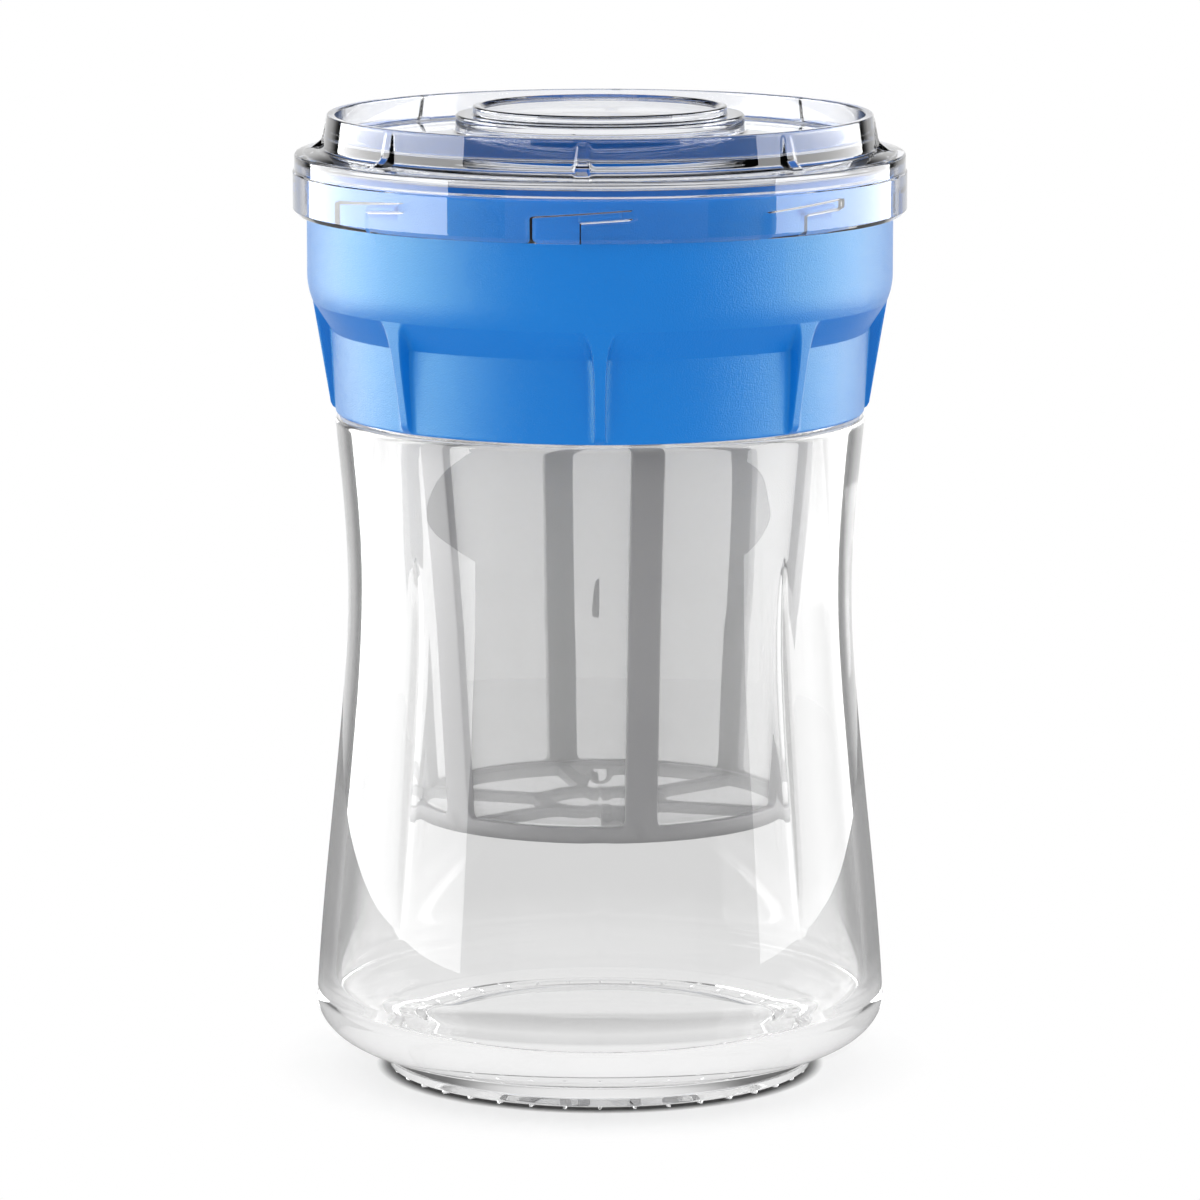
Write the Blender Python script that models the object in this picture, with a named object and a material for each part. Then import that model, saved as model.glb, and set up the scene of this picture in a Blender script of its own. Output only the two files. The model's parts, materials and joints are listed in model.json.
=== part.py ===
"""Soft cheese maker: a glass jar with a blue collar, a hanging strainer and a clear bayonet lid.

Metres, +Z up. The origin is the centre of the jar's foot, and the front of the jar faces -Y.
Angles are counted from the front towards +X, which is counter-clockwise from above.
"""

import math

import bmesh
import bpy

MM = 0.001

# Fits
CLEARANCE = 0.3 * MM  # between pieces that touch
RUNNING_GAP = 0.4 * MM  # between surfaces that pass each other
SECTORS = 8  # flutes, ribs, gussets and lid lugs all keep this pitch
SEGMENTS = 7 * SECTORS  # sides of a turned piece
PITCH = math.tau / SECTORS
OVERCUT = 1.0 * MM  # how far cutters run past a surface
ROOT = 0.8 * MM  # how deep lugs and fins start inside the wall that carries them
WELD = 0.01 * MM  # points closer than this are one
SHARP_ANGLE = math.radians(30.0)  # sharper edges stay crisp

# Glass jar
NECK_RADIUS = 44.2 * MM
NECK_WALL = 3.0 * MM
NECK_HEIGHT = 14.4 * MM
SHOULDER_HEIGHT = 119.9 * MM
SHOULDER_STEP = 3.7 * MM  # shoulder bead outside the neck
WAIST_STEP = 1.4 * MM  # waist outside the neck
WAIST_HEIGHT = 88.0 * MM
HEEL_FLARE = 5.9 * MM  # widest part of the body outside the waist
HEEL_HEIGHT = 14.3 * MM
CREASE_HEIGHT = 0.7 * MM  # a fine groove rings the body above the heel
CREASE_DEPTH = 0.15 * MM
HEEL_TUCK = 5.1 * MM  # pull of the heel's curve towards the foot
HEEL_BELLY = 8.9 * MM  # height where the heel's curve leaves the widest part
HEEL_TOE = 4.7 * MM  # height from which it heads for the foot
UPPER_LEAN = 0.8 * MM  # how far the side draws in on its way to the waist
LOWER_LEAN = 1.5 * MM
SHOULDER_PULL = 8.2 * MM  # lengths that steer the side's curve at its ends and at the waist
WAIST_PULL_UP = 10.2 * MM
WAIST_PULL_DOWN = 19.7 * MM
HEEL_PULL = 25.6 * MM
BODY_WALL = 3.0 * MM
BASE_THICKNESS = 8.4 * MM
INNER_HEEL = 9.0 * MM
FLOOR_CROWN = 0.4 * MM  # the floor rises to its middle
FOOT_RADIUS = 37.2 * MM
FOOT_WIDTH = 2.6 * MM
FOOT_ROUND = 2.2 * MM
PUSH_UP = 2.4 * MM
RIM_ROUND = 0.8 * MM
NECK_FILLET = 0.6 * MM
BEAD_HEIGHT = 3.6 * MM
BEAD_REACH = 0.45 * MM
BEAD_ROUND = 0.9 * MM
FLUTE_WIDTH = 4.4 * MM
FLUTE_POINT = 0.4 * MM  # half width of a flute at its points
FLUTE_DEPTH = 0.9 * MM
FLUTE_SWELL = 0.4  # a smaller power gives blunter points
FLUTE_BOTTOM = 32.0 * MM
FLUTE_TOP = 97.5 * MM
FLUTE_RAMP = 1.6 * MM  # slope at the cut ends of the front flute
BLANK_BOTTOM = 60.9 * MM  # the front flute stops at this blank area
BLANK_TOP = 91.3 * MM

# Twist-off lugs between jar and collar
TWIST_LUGS = 4
TWIST_LUG_REACH = 1.4 * MM
TWIST_LUG_HEIGHT = 1.8 * MM
JAR_LUG_ARC = math.radians(34.0)
COLLAR_LUG_ARC = math.radians(28.0)
JAR_LUG_DROP = 6.0 * MM  # from the jar's rim to the top of its lugs

# Jar gasket
GASKET_THICKNESS = 1.7 * MM
GASKET_INSET = 0.2 * MM  # inside the edges of the jar's rim

# Collar
COLLAR_WALL = 1.6 * MM
SKIRT_GAP = 0.6 * MM  # between the jar's shoulder and the collar's lower edge
PANEL_DRAFT = 0.7 * MM  # how much the panels widen towards the top
LEDGE_THICKNESS = 2.0 * MM
DRUM_OVERHANG = 4.3 * MM  # drum outside the panels' top
DRUM_WALL = 1.8 * MM
HOPPER_DEPTH = 25.0 * MM
SLOPE_HEIGHT = 5.2 * MM
SLOPE_DROP = 3.6 * MM  # from the ledge down to the slope's foot
SLOPE_REACH = 2.6 * MM  # where the slope meets the drum's rounding, outside the panels
SLOPE_CURL = 1.4 * MM
DRUM_ROUND = 2.6 * MM  # height of the drum's rounded lower edge
PANEL_FILLET = 0.4 * MM
HOPPER_SLOPE = 3.4 * MM  # the hopper widens over this height above the ledge
HOPPER_STEP = 2.2 * MM  # and by this much
EDGE = 0.4 * MM  # broken edges of the collar
RIB_WIDTH = 3.0 * MM
RIB_FLARE = 2.4 * MM  # extra width at a rib's top
RIB_FOOT = 0.7 * MM  # how far a rib stands out at its foot
RIB_TUCK = 1.1 * MM  # how far a rib's top stays inside the drum
RIB_ROUND = 0.45 * MM
RIB_LIFT = 0.5 * MM  # a rib begins above the collar's lower edge
RIB_DROP = 0.6 * MM  # and ends below the slope's top
RIB_SPLAY = 0.3 * MM  # extra half width at a rib's root
RIB_SKIRT = 0.6 * MM  # and at the root's top
RIB_SLICES = 7

# Strainer
STRAINER_PLAY = 1.5 * MM  # between the basket and the jar's bore
STRAINER_TAPER = 5.9 * MM
STRAINER_DEPTH = 91.5 * MM
STRAINER_WALL = 1.6 * MM
STRAINER_BARS = 6
STRAINER_TURN = math.radians(12.4)
BAR_WIDTH = 5.7 * MM
BAND_HEIGHT = 8.0 * MM  # closed band under the flange
RING_HEIGHT = 2.8 * MM
WINDOW_CORNER = 1.0 * MM
WINDOW_SLICES = 6
FLANGE_THICKNESS = 1.8 * MM
FLANGE_PLAY = 0.6 * MM
SPOKE_WIDTH = 2.7 * MM
SPOKE_THICKNESS = 1.9 * MM
SPOKE_STEP = 0.1 * MM  # spokes stay inside the hub's and ring's faces
HUB_RADIUS = 12.0 * MM
HUB_WIDTH = 2.9 * MM
MESH_THICKNESS = 0.4 * MM

# Lid
SEAL_THICKNESS = 1.7 * MM
SEAL_INSET = 1.0 * MM
LID_PLATE = 1.6 * MM  # thickness of the crown's floor and the boss
LID_LIP = 0.5 * MM  # rounding of the flange's edge
LIP_RISE = 0.2 * MM
LID_SOFT = 0.3 * MM  # broken edges of the boss
SKIRT_WALL = 2.1 * MM
SKIRT_DEPTH = 9.6 * MM  # below the plate's underside
SKIRT_STEP = 0.3 * MM  # the upper band stands in by this much
SKIRT_BAND = 2.5 * MM
SKIRT_CHAMFER = 0.9 * MM
FLANGE_THICK = 2.1 * MM  # lid's flange at the crown's foot
FLANGE_FALL = 1.0 * MM  # towards its edge
CROWN_INSET = 5.4 * MM  # from the lid's edge to the crown's foot
CROWN_HEIGHT = 6.0 * MM
CROWN_WALL = 1.5 * MM
CROWN_DRAFT = 0.75 * MM
CROWN_FILLET = 0.7 * MM
UNDER_INSET = 1.8 * MM  # the hollow under the crown starts inside its foot
UNDER_FILLET = 1.0 * MM
FLOOR_LIFT = 1.3 * MM  # crown floor above the flange
FLOOR_RISE = 1.6 * MM  # the floor climbs towards the boss
BOSS_RADIUS = 25.9 * MM
BOSS_HEIGHT = 3.0 * MM
BUTTON_RADIUS = 22.8 * MM
BUTTON_HEIGHT = 1.5 * MM
BUTTON_RIM = 1.3 * MM
DISH_DEPTH = 0.6 * MM
GUSSET_TURN = math.radians(-3.5)
GUSSET_FOOT = 2.5 * MM
GUSSET_TIP = 1.4 * MM
GUSSET_REACH = 2.0 * MM
GUSSET_RISE = 1.9 * MM  # height of the flare at a gusset's foot
GUSSET_SKIN = 0.1 * MM  # how far a gusset's edge stands off the crown
GUSSET_SINK = 0.5 * MM  # how deep it starts in the flange
GUSSET_SLICES = 3

# Bayonet between collar and lid
LUG_ARC = math.radians(8.3)
LUG_HEIGHT = 0.85 * MM
LUG_DROP = 3.0 * MM  # from the collar's top to the middle of a lug
LUG_REACH = 1.0 * MM
LID_TURN = math.radians(8.1)
SLOT_SLOPE = 0.072
SLOT_CLEARANCE = 0.12 * MM
SLOT_SIDE_PLAY = math.radians(0.45)
SLOT_END_PLAY = math.radians(1.65)
SLOT_SLICES = 6

# Heights of the stack above the table
JAR_RIM = SHOULDER_HEIGHT + NECK_HEIGHT
GASKET_SEAT = JAR_RIM + CLEARANCE
COLLAR_FOOT = SHOULDER_HEIGHT + SKIRT_GAP
LEDGE_UNDERSIDE = GASKET_SEAT + GASKET_THICKNESS + CLEARANCE
LEDGE_TOP = LEDGE_UNDERSIDE + LEDGE_THICKNESS
FLANGE_SEAT = LEDGE_TOP + CLEARANCE
COLLAR_TOP = LEDGE_TOP + HOPPER_DEPTH
SEAL_SEAT = COLLAR_TOP + CLEARANCE
LID_SEAT = SEAL_SEAT + SEAL_THICKNESS + CLEARANCE

# Radii that follow from the fits
NECK_BORE = NECK_RADIUS - NECK_WALL
WAIST_RADIUS = NECK_RADIUS + WAIST_STEP
BODY_RADIUS = WAIST_RADIUS + HEEL_FLARE
BEAD_RADIUS = NECK_RADIUS + SHOULDER_STEP
COLLAR_BORE = NECK_RADIUS + TWIST_LUG_REACH + RUNNING_GAP
PANEL_FOOT = COLLAR_BORE + COLLAR_WALL
PANEL_TOP = PANEL_FOOT + PANEL_DRAFT
DRUM_RADIUS = PANEL_TOP + DRUM_OVERHANG
HOPPER_RADIUS = DRUM_RADIUS - DRUM_WALL
FLANGE_BORE = HOPPER_RADIUS - HOPPER_STEP
LEDGE_BORE = NECK_BORE - CLEARANCE
BASKET_RADIUS = NECK_BORE - STRAINER_PLAY
SKIRT_BORE = DRUM_RADIUS + RUNNING_GAP
LID_RADIUS = SKIRT_BORE + SKIRT_WALL
SLOPE_FOOT = LEDGE_TOP - SLOPE_DROP
SLOPE_TOP = SLOPE_FOOT + SLOPE_HEIGHT
CROWN_FOOT = LID_RADIUS - CROWN_INSET
CROWN_RIM = CROWN_FOOT - CROWN_DRAFT


def clear_scene():
    """Removes every object of the open scene."""
    for item in list(bpy.data.objects):
        bpy.data.objects.remove(item, do_unlink=True)


def finish(name, colour, roughness, transmission=0.0):
    """Makes a Principled material for one sub-part."""
    material = bpy.data.materials.new(name)
    material.use_nodes = True
    shader = material.node_tree.nodes["Principled BSDF"]
    shader.inputs["Base Color"].default_value = (*colour, 1.0)
    shader.inputs["Roughness"].default_value = roughness
    shader.inputs["Metallic"].default_value = 0.0
    shader.inputs["Transmission Weight"].default_value = transmission
    return material


def add_object(name, body, material=None):
    """Turns a bmesh into an object with outward faces and smooth shading."""
    bmesh.ops.recalc_face_normals(body, faces=body.faces)
    mesh = bpy.data.meshes.new(name)
    body.to_mesh(mesh)
    body.free()
    mesh.shade_smooth()
    mesh.set_sharp_from_angle(angle=SHARP_ANGLE)
    if material:
        mesh.materials.append(material)
    item = bpy.data.objects.new(name, mesh)
    bpy.context.scene.collection.objects.link(item)
    return item


def polar(radius, angle, height):
    """A point at an angle from the front."""
    return (radius * math.sin(angle), -radius * math.cos(angle), height)


def spun(outline, closed):
    """Spins an outline of (radius, height) points about the axis; an open one ends on the axis."""
    body = bmesh.new()
    points = [body.verts.new((radius, 0.0, height)) for radius, height in outline]
    pairs = list(zip(points, points[1:]))
    if closed:
        pairs.append((points[-1], points[0]))
    edges = [body.edges.new(pair) for pair in pairs]
    bmesh.ops.spin(
        body, geom=points + edges, cent=(0.0, 0.0, 0.0), axis=(0.0, 0.0, 1.0),
        angle=math.tau, steps=SEGMENTS, use_merge=True,
    )
    bmesh.ops.remove_doubles(body, verts=body.verts, dist=WELD)
    return body


def turned(name, outline, material, closed=True):
    """A solid of revolution made from an outline."""
    return add_object(name, spun(outline, closed), material)


def add_loft(body, rings):
    """Skins a closed solid over rings of points, capped at both ends."""
    layers = [[body.verts.new(point) for point in ring] for ring in rings]
    count = len(layers[0])
    for lower, upper in zip(layers, layers[1:]):
        for index in range(count):
            following = (index + 1) % count
            body.faces.new((lower[index], lower[following], upper[following], upper[index]))
    body.faces.new(list(reversed(layers[0])))
    body.faces.new(layers[-1])


def patterned(name, make_rings, count, start=0.0):
    """One object of equal lofts spread round the axis; make_rings(angle) gives a loft's rings."""
    body = bmesh.new()
    for index in range(count):
        add_loft(body, make_rings(start + index * math.tau / count))
    return add_object(name, body)


def combine(target, tool, operation):
    """Adds or cuts a tool with an exact Boolean and keeps the tool as a hidden wire guide."""
    modifier = target.modifiers.new(tool.name, "BOOLEAN")
    modifier.operation = operation
    modifier.solver = "EXACT"
    modifier.object = tool
    tool.parent = target
    tool.hide_render = True
    tool.display_type = "WIRE"


def place(item, height, axis):
    """Seats a piece on the common axis at a height above the table."""
    item.parent = axis
    item.location = (0.0, 0.0, height)


def arc(centre, radius, start, end, steps):
    """Points of a circular arc in (radius, height), angles in degrees from outwards to up."""
    span = math.radians(end - start) / steps
    angles = [math.radians(start) + index * span for index in range(steps + 1)]
    return [(centre[0] + radius * math.cos(a), centre[1] + radius * math.sin(a)) for a in angles]


def bezier(start, pull_start, pull_end, end, steps):
    """Points of a cubic curve between two points, both ends included."""
    points = []
    for index in range(steps + 1):
        t = index / steps
        weights = ((1 - t) ** 3, 3 * t * (1 - t) ** 2, 3 * t * t * (1 - t), t ** 3)
        corners = (start, pull_start, pull_end, end)
        points.append(tuple(sum(w * c[axis] for w, c in zip(weights, corners)) for axis in (0, 1)))
    return points


def body_curve(inset=0.0):
    """The jar's side from under the bead over the waist down to the heel, set in by a wall."""
    waist = (WAIST_RADIUS - inset, WAIST_HEIGHT)
    heel = (BODY_RADIUS - inset, HEEL_HEIGHT + CREASE_HEIGHT)
    top = (BEAD_RADIUS - BEAD_REACH - inset, SHOULDER_HEIGHT - BEAD_HEIGHT)
    upper = bezier(
        top, (top[0] - UPPER_LEAN, top[1] - SHOULDER_PULL),
        (waist[0], waist[1] + WAIST_PULL_UP), waist, 12,
    )
    lower = bezier(
        waist, (waist[0], waist[1] - WAIST_PULL_DOWN),
        (heel[0] - LOWER_LEAN, heel[1] + HEEL_PULL), heel, 16,
    )
    return upper + lower[1:]


def radius_at(curve, height):
    """Radius of a curve of (radius, height) points at a height, whichever way the curve runs."""
    for (first_radius, first), (second_radius, second) in zip(curve, curve[1:]):
        low, high = min(first, second), max(first, second)
        if low <= height <= high and high > low:
            share = (height - first) / (second - first)
            return first_radius + share * (second_radius - first_radius)
    return min(curve, key=lambda point: abs(point[1] - height))[0]


def spaced(start, end, count):
    """Evenly spaced values that begin at start and stop one step short of end."""
    return [start + (end - start) * index / count for index in range(count)]


def side_heights():
    """Heights of the rings down the jar's outer side, closer where the flutes begin and end."""
    heights = spaced(SHOULDER_HEIGHT - BEAD_HEIGHT, FLUTE_TOP, 3)
    heights += spaced(FLUTE_TOP, BLANK_TOP, 3) + [BLANK_TOP]
    heights += spaced(BLANK_TOP - FLUTE_RAMP, BLANK_BOTTOM + FLUTE_RAMP, 3) + [BLANK_BOTTOM + FLUTE_RAMP]
    heights += spaced(BLANK_BOTTOM, FLUTE_BOTTOM, 5)
    heel = HEEL_HEIGHT + CREASE_HEIGHT
    return heights + spaced(FLUTE_BOTTOM, heel, 3) + [heel]


def jar_outline():
    """Half section of the jar, from the middle of the floor over the rim and back to the axis."""
    floor_edge = BODY_RADIUS - BODY_WALL - INNER_HEEL
    bore_side = body_curve(BODY_WALL)
    inside = [(0.0, BASE_THICKNESS + FLOOR_CROWN), (floor_edge, BASE_THICKNESS)]
    inside += arc((floor_edge, BASE_THICKNESS + INNER_HEEL), INNER_HEEL, -90.0, 0.0, 4)[1:]
    first = BASE_THICKNESS + INNER_HEEL
    inside += [(radius_at(bore_side, z), z) for z in spaced(first, WAIST_HEIGHT, 3)[1:]]
    inside += [(WAIST_RADIUS - BODY_WALL, WAIST_HEIGHT), (NECK_BORE, SHOULDER_HEIGHT - BEAD_HEIGHT)]
    rim = arc((NECK_BORE + RIM_ROUND, JAR_RIM - RIM_ROUND), RIM_ROUND, 180.0, 90.0, 2)
    rim += arc((NECK_RADIUS - RIM_ROUND, JAR_RIM - RIM_ROUND), RIM_ROUND, 90.0, 0.0, 2)
    shoulder = [(NECK_RADIUS, SHOULDER_HEIGHT + NECK_FILLET), (NECK_RADIUS + NECK_FILLET, SHOULDER_HEIGHT)]
    bead = arc((BEAD_RADIUS - BEAD_ROUND, SHOULDER_HEIGHT - BEAD_ROUND), BEAD_ROUND, 90.0, 0.0, 2)
    bead += [(BEAD_RADIUS, SHOULDER_HEIGHT - BEAD_HEIGHT + BEAD_ROUND)]
    side_curve = body_curve()
    side = [(radius_at(side_curve, z), z) for z in side_heights()]
    foot_edge = (FOOT_RADIUS + FOOT_ROUND, FOOT_ROUND / 2)
    heel = [(BODY_RADIUS - CREASE_DEPTH, HEEL_HEIGHT)]
    heel += bezier(
        (BODY_RADIUS + CREASE_DEPTH, HEEL_HEIGHT - 2 * CREASE_HEIGHT),
        (BODY_RADIUS - CREASE_DEPTH, HEEL_BELLY),
        (BODY_RADIUS - HEEL_TUCK, HEEL_TOE), foot_edge, 5,
    )
    inner_foot = FOOT_RADIUS - FOOT_WIDTH
    foot = [(FOOT_RADIUS, 0.0), (inner_foot, 0.0), (inner_foot - PUSH_UP, PUSH_UP - FLOOR_CROWN)]
    return inside + rim + shoulder + bead + side + heel + foot + [(0.0, PUSH_UP)]


def press_flutes(body):
    """Draws the side's upright edges to the flutes' borders and presses a V between them."""
    column = math.tau / SEGMENTS
    side = body_curve()
    for vertex in body.verts:
        x, y, height = vertex.co
        radius = math.hypot(x, y)
        on_side = abs(radius - radius_at(side, height)) < BODY_WALL / 2
        if not on_side or not FLUTE_BOTTOM - WELD < height < FLUTE_TOP + WELD:
            continue
        sector = round(math.atan2(x, -y) / PITCH)
        offset = round((math.atan2(x, -y) - sector * PITCH) / column)
        share = (height - FLUTE_BOTTOM) / (FLUTE_TOP - FLUTE_BOTTOM)
        swell = math.sin(math.pi * min(max(share, 0.0), 1.0)) ** FLUTE_SWELL
        half_turn = (FLUTE_POINT + (FLUTE_WIDTH / 2 - FLUTE_POINT) * swell) / radius
        turn = sector * PITCH
        if offset:
            spread = (abs(offset) - 1) / (SEGMENTS / SECTORS / 2 - 1)
            turn += math.copysign(half_turn + spread * (PITCH / 2 - half_turn), offset)
        elif sector or not BLANK_BOTTOM + WELD < height < BLANK_TOP - WELD:
            radius -= FLUTE_DEPTH * swell
        vertex.co = polar(radius, turn, height)


def lug_rings(angle, span, inner, outer, bottom, top, rise=0.0, steps=3):
    """A block along an arc centred on an angle; rise lifts it by that much per metre of arc."""
    rings = []
    for index in range(steps + 1):
        offset = span * (index / steps - 0.5)
        lift = rise * offset * outer
        rings.append([
            polar(inner, angle + offset, bottom + lift),
            polar(outer, angle + offset, bottom + lift),
            polar(outer, angle + offset, top + lift),
            polar(inner, angle + offset, top + lift),
        ])
    return rings


def build_jar(axis):
    """The waisted glass jar with its flutes and twist-off lugs."""
    glass = finish("glass", (0.93, 0.95, 0.95), 0.02, transmission=1.0)
    body = spun(jar_outline(), closed=False)
    press_flutes(body)
    jar = add_object("glass_jar", body, glass)
    top = JAR_RIM - JAR_LUG_DROP
    lugs = patterned(
        "jar_lug_guide",
        lambda angle: lug_rings(
            angle, JAR_LUG_ARC, NECK_RADIUS - ROOT, NECK_RADIUS + TWIST_LUG_REACH,
            top - TWIST_LUG_HEIGHT, top, steps=6,
        ),
        TWIST_LUGS,
    )
    combine(jar, lugs, "UNION")
    place(jar, 0.0, axis)


def build_gasket(axis):
    """The flat silicone ring on the jar's rim."""
    silicone = finish("gasket_silicone", (0.86, 0.86, 0.84), 0.55)
    inner = NECK_BORE + GASKET_INSET
    outer = NECK_RADIUS - GASKET_INSET
    outline = [(outer, 0.0), (outer, GASKET_THICKNESS), (inner, GASKET_THICKNESS), (inner, 0.0)]
    place(turned("jar_gasket", outline, silicone), GASKET_SEAT, axis)


def collar_outside():
    """The collar's outer side above its lower edge, down from its top edge."""
    top = COLLAR_TOP - COLLAR_FOOT
    slope_foot = SLOPE_FOOT - COLLAR_FOOT
    slope_top = SLOPE_TOP - COLLAR_FOOT
    side = [(DRUM_RADIUS - EDGE, top), (DRUM_RADIUS, top - EDGE)]
    side += bezier(
        (DRUM_RADIUS, slope_top + DRUM_ROUND), (DRUM_RADIUS, slope_top + DRUM_ROUND / 3),
        (DRUM_RADIUS - EDGE, slope_top), (PANEL_TOP + SLOPE_REACH, slope_top - SLOPE_CURL), 4,
    )
    side += [(PANEL_TOP + PANEL_FILLET, slope_foot + PANEL_FILLET), (PANEL_TOP, slope_foot - PANEL_FILLET)]
    return side + [(PANEL_FOOT, EDGE), (PANEL_FOOT - EDGE, 0.0)]


def collar_outline():
    """Half section of the collar above its lower edge: down the outside and up the inside."""
    top = COLLAR_TOP - COLLAR_FOOT
    ledge = LEDGE_UNDERSIDE - COLLAR_FOOT
    inside = [(COLLAR_BORE, 0.0), (COLLAR_BORE, ledge), (LEDGE_BORE, ledge)]
    inside += [(LEDGE_BORE, ledge + LEDGE_THICKNESS)]
    inside += [(FLANGE_BORE, ledge + LEDGE_THICKNESS)]
    inside += [(HOPPER_RADIUS, ledge + LEDGE_THICKNESS + HOPPER_SLOPE), (HOPPER_RADIUS, top)]
    return collar_outside() + inside


def rib_rings(angle):
    """One upright rib: narrow at the collar's foot, flaring into the drum at its top."""
    side = [point for point in reversed(collar_outside()) if EDGE <= point[1]]
    top = SLOPE_TOP - COLLAR_FOOT - RIB_DROP
    rings = []
    for index in range(RIB_SLICES + 1):
        share = index / RIB_SLICES
        height = RIB_LIFT + share * (top - RIB_LIFT)
        outer = PANEL_FOOT + RIB_FOOT + share * (DRUM_RADIUS - RIB_TUCK - PANEL_FOOT - RIB_FOOT)
        half_width = 0.5 * (RIB_WIDTH + RIB_FLARE * share ** 3)
        root = half_width + RIB_SPLAY + RIB_SKIRT * share ** 3
        crown = half_width - RIB_ROUND
        inner = radius_at(side, height) - COLLAR_WALL / 2
        rings.append([
            polar(inner, angle - root / inner, height),
            polar(outer - RIB_ROUND, angle - half_width / outer, height),
            polar(outer, angle - crown / outer, height),
            polar(outer, angle + crown / outer, height),
            polar(outer - RIB_ROUND, angle + half_width / outer, height),
            polar(inner, angle + root / inner, height),
        ])
    return rings


def build_collar(axis):
    """The blue collar: hopper above, screw skirt below, ribs and both sets of lugs."""
    plastic = finish("blue_plastic", (0.0, 0.195, 0.672), 0.35)
    collar = turned("collar", collar_outline(), plastic)
    combine(collar, patterned("rib_guide", rib_rings, SECTORS), "UNION")
    middle = COLLAR_TOP - LUG_DROP - COLLAR_FOOT
    lid_lugs = patterned(
        "lid_lug_guide",
        lambda angle: lug_rings(
            angle, LUG_ARC, DRUM_RADIUS - ROOT, DRUM_RADIUS + LUG_REACH,
            middle - LUG_HEIGHT / 2, middle + LUG_HEIGHT / 2, rise=SLOT_SLOPE,
        ),
        SECTORS,
    )
    combine(collar, lid_lugs, "UNION")
    lug_top = JAR_RIM - JAR_LUG_DROP - TWIST_LUG_HEIGHT - CLEARANCE - COLLAR_FOOT
    jar_lugs = patterned(
        "twist_lug_guide",
        lambda angle: lug_rings(
            angle, COLLAR_LUG_ARC, NECK_RADIUS + RUNNING_GAP, COLLAR_BORE + ROOT,
            lug_top - TWIST_LUG_HEIGHT, lug_top, steps=5,
        ),
        TWIST_LUGS,
    )
    combine(collar, jar_lugs, "UNION")
    place(collar, COLLAR_FOOT, axis)


def basket_radius(depth):
    """Outer radius of the strainer at a depth below its flange."""
    return BASKET_RADIUS - STRAINER_TAPER * depth / STRAINER_DEPTH


def window_rings(angle):
    """A cutter for one window of the basket: slices from bar to bar, shorter at the corners."""
    top = -BAND_HEIGHT
    bottom = RING_HEIGHT - STRAINER_DEPTH
    half = math.pi / STRAINER_BARS
    corner = WINDOW_CORNER / (half * basket_radius(-bottom))
    inner_share = 1.0 - corner
    slices = [inner_share * (2 * step / WINDOW_SLICES - 1.0) for step in range(WINDOW_SLICES + 1)]
    rings = []
    for share in [-1.0] + slices + [1.0]:
        inset = WINDOW_CORNER if abs(share) == 1.0 else 0.0
        ring = []
        for shift, order in ((-STRAINER_WALL - OVERCUT, 1), (OVERCUT, -1)):
            for height in (bottom + inset, top - inset)[::order]:
                wall = basket_radius(-height)
                turn = share * (half - BAR_WIDTH / 2 / wall)
                ring.append(polar(wall + shift, angle + turn, height))
        rings.append(ring)
    return rings


def build_strainer(axis):
    """The strainer: a barred basket hung from its flange, with a mesh wall and a mesh floor."""
    grey = finish("strainer_plastic", (0.30, 0.31, 0.33), 0.45)
    gauze = finish("strainer_gauze", (0.62, 0.63, 0.65), 0.6)
    depth = STRAINER_DEPTH
    bottom = basket_radius(depth)
    flange = FLANGE_BORE - FLANGE_PLAY
    outline = [
        (flange, FLANGE_THICKNESS), (flange, 0.0), (BASKET_RADIUS, 0.0), (bottom, -depth),
        (bottom - STRAINER_WALL, -depth), (BASKET_RADIUS - STRAINER_WALL, 0.0),
        (BASKET_RADIUS - STRAINER_WALL, FLANGE_THICKNESS),
    ]
    spoke_top = SPOKE_THICKNESS - depth
    hub_top = spoke_top + SPOKE_STEP
    frame = turned("strainer_frame", outline, grey)
    windows = patterned(
        "window_cutter", window_rings, STRAINER_BARS, STRAINER_TURN + math.pi / STRAINER_BARS,
    )
    combine(frame, windows, "DIFFERENCE")

    def spoke_rings(angle):
        start = HUB_RADIUS - HUB_WIDTH / 2
        end = bottom - STRAINER_WALL / 2
        rings = []
        for reach in (start, end):
            turn = math.atan2(SPOKE_WIDTH / 2, reach)
            edge = math.hypot(reach, SPOKE_WIDTH / 2)
            rings.append([
                polar(edge, angle - turn, SPOKE_STEP - depth), polar(edge, angle + turn, SPOKE_STEP - depth),
                polar(edge, angle + turn, spoke_top), polar(edge, angle - turn, spoke_top),
            ])
        return rings

    spokes = patterned("spoke_guide", spoke_rings, STRAINER_BARS, STRAINER_TURN)
    hub_outline = [
        (HUB_RADIUS, -depth), (HUB_RADIUS, hub_top), (HUB_RADIUS - HUB_WIDTH, hub_top),
        (HUB_RADIUS - HUB_WIDTH, -depth),
    ]
    combine(frame, turned("hub_guide", hub_outline, None), "UNION")
    combine(frame, spokes, "UNION")
    place(frame, FLANGE_SEAT, axis)

    floor_seat = hub_top + CLEARANCE
    rim = basket_radius(-floor_seat) - STRAINER_WALL - CLEARANCE
    floor_outline = [
        (0.0, floor_seat + MESH_THICKNESS), (rim, floor_seat + MESH_THICKNESS), (rim, floor_seat),
        (0.0, floor_seat),
    ]
    floor_mesh = turned("strainer_floor_mesh", floor_outline, gauze, closed=False)
    place(floor_mesh, FLANGE_SEAT, axis)

    foot = floor_seat + MESH_THICKNESS + CLEARANCE
    outer_foot = basket_radius(-foot) - STRAINER_WALL - CLEARANCE
    outer_top = BASKET_RADIUS - STRAINER_WALL - CLEARANCE
    wall_outline = [
        (outer_top, 0.0), (outer_foot, foot), (outer_foot - MESH_THICKNESS, foot),
        (outer_top - MESH_THICKNESS, 0.0),
    ]
    place(turned("strainer_wall_mesh", wall_outline, gauze), FLANGE_SEAT, axis)


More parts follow.
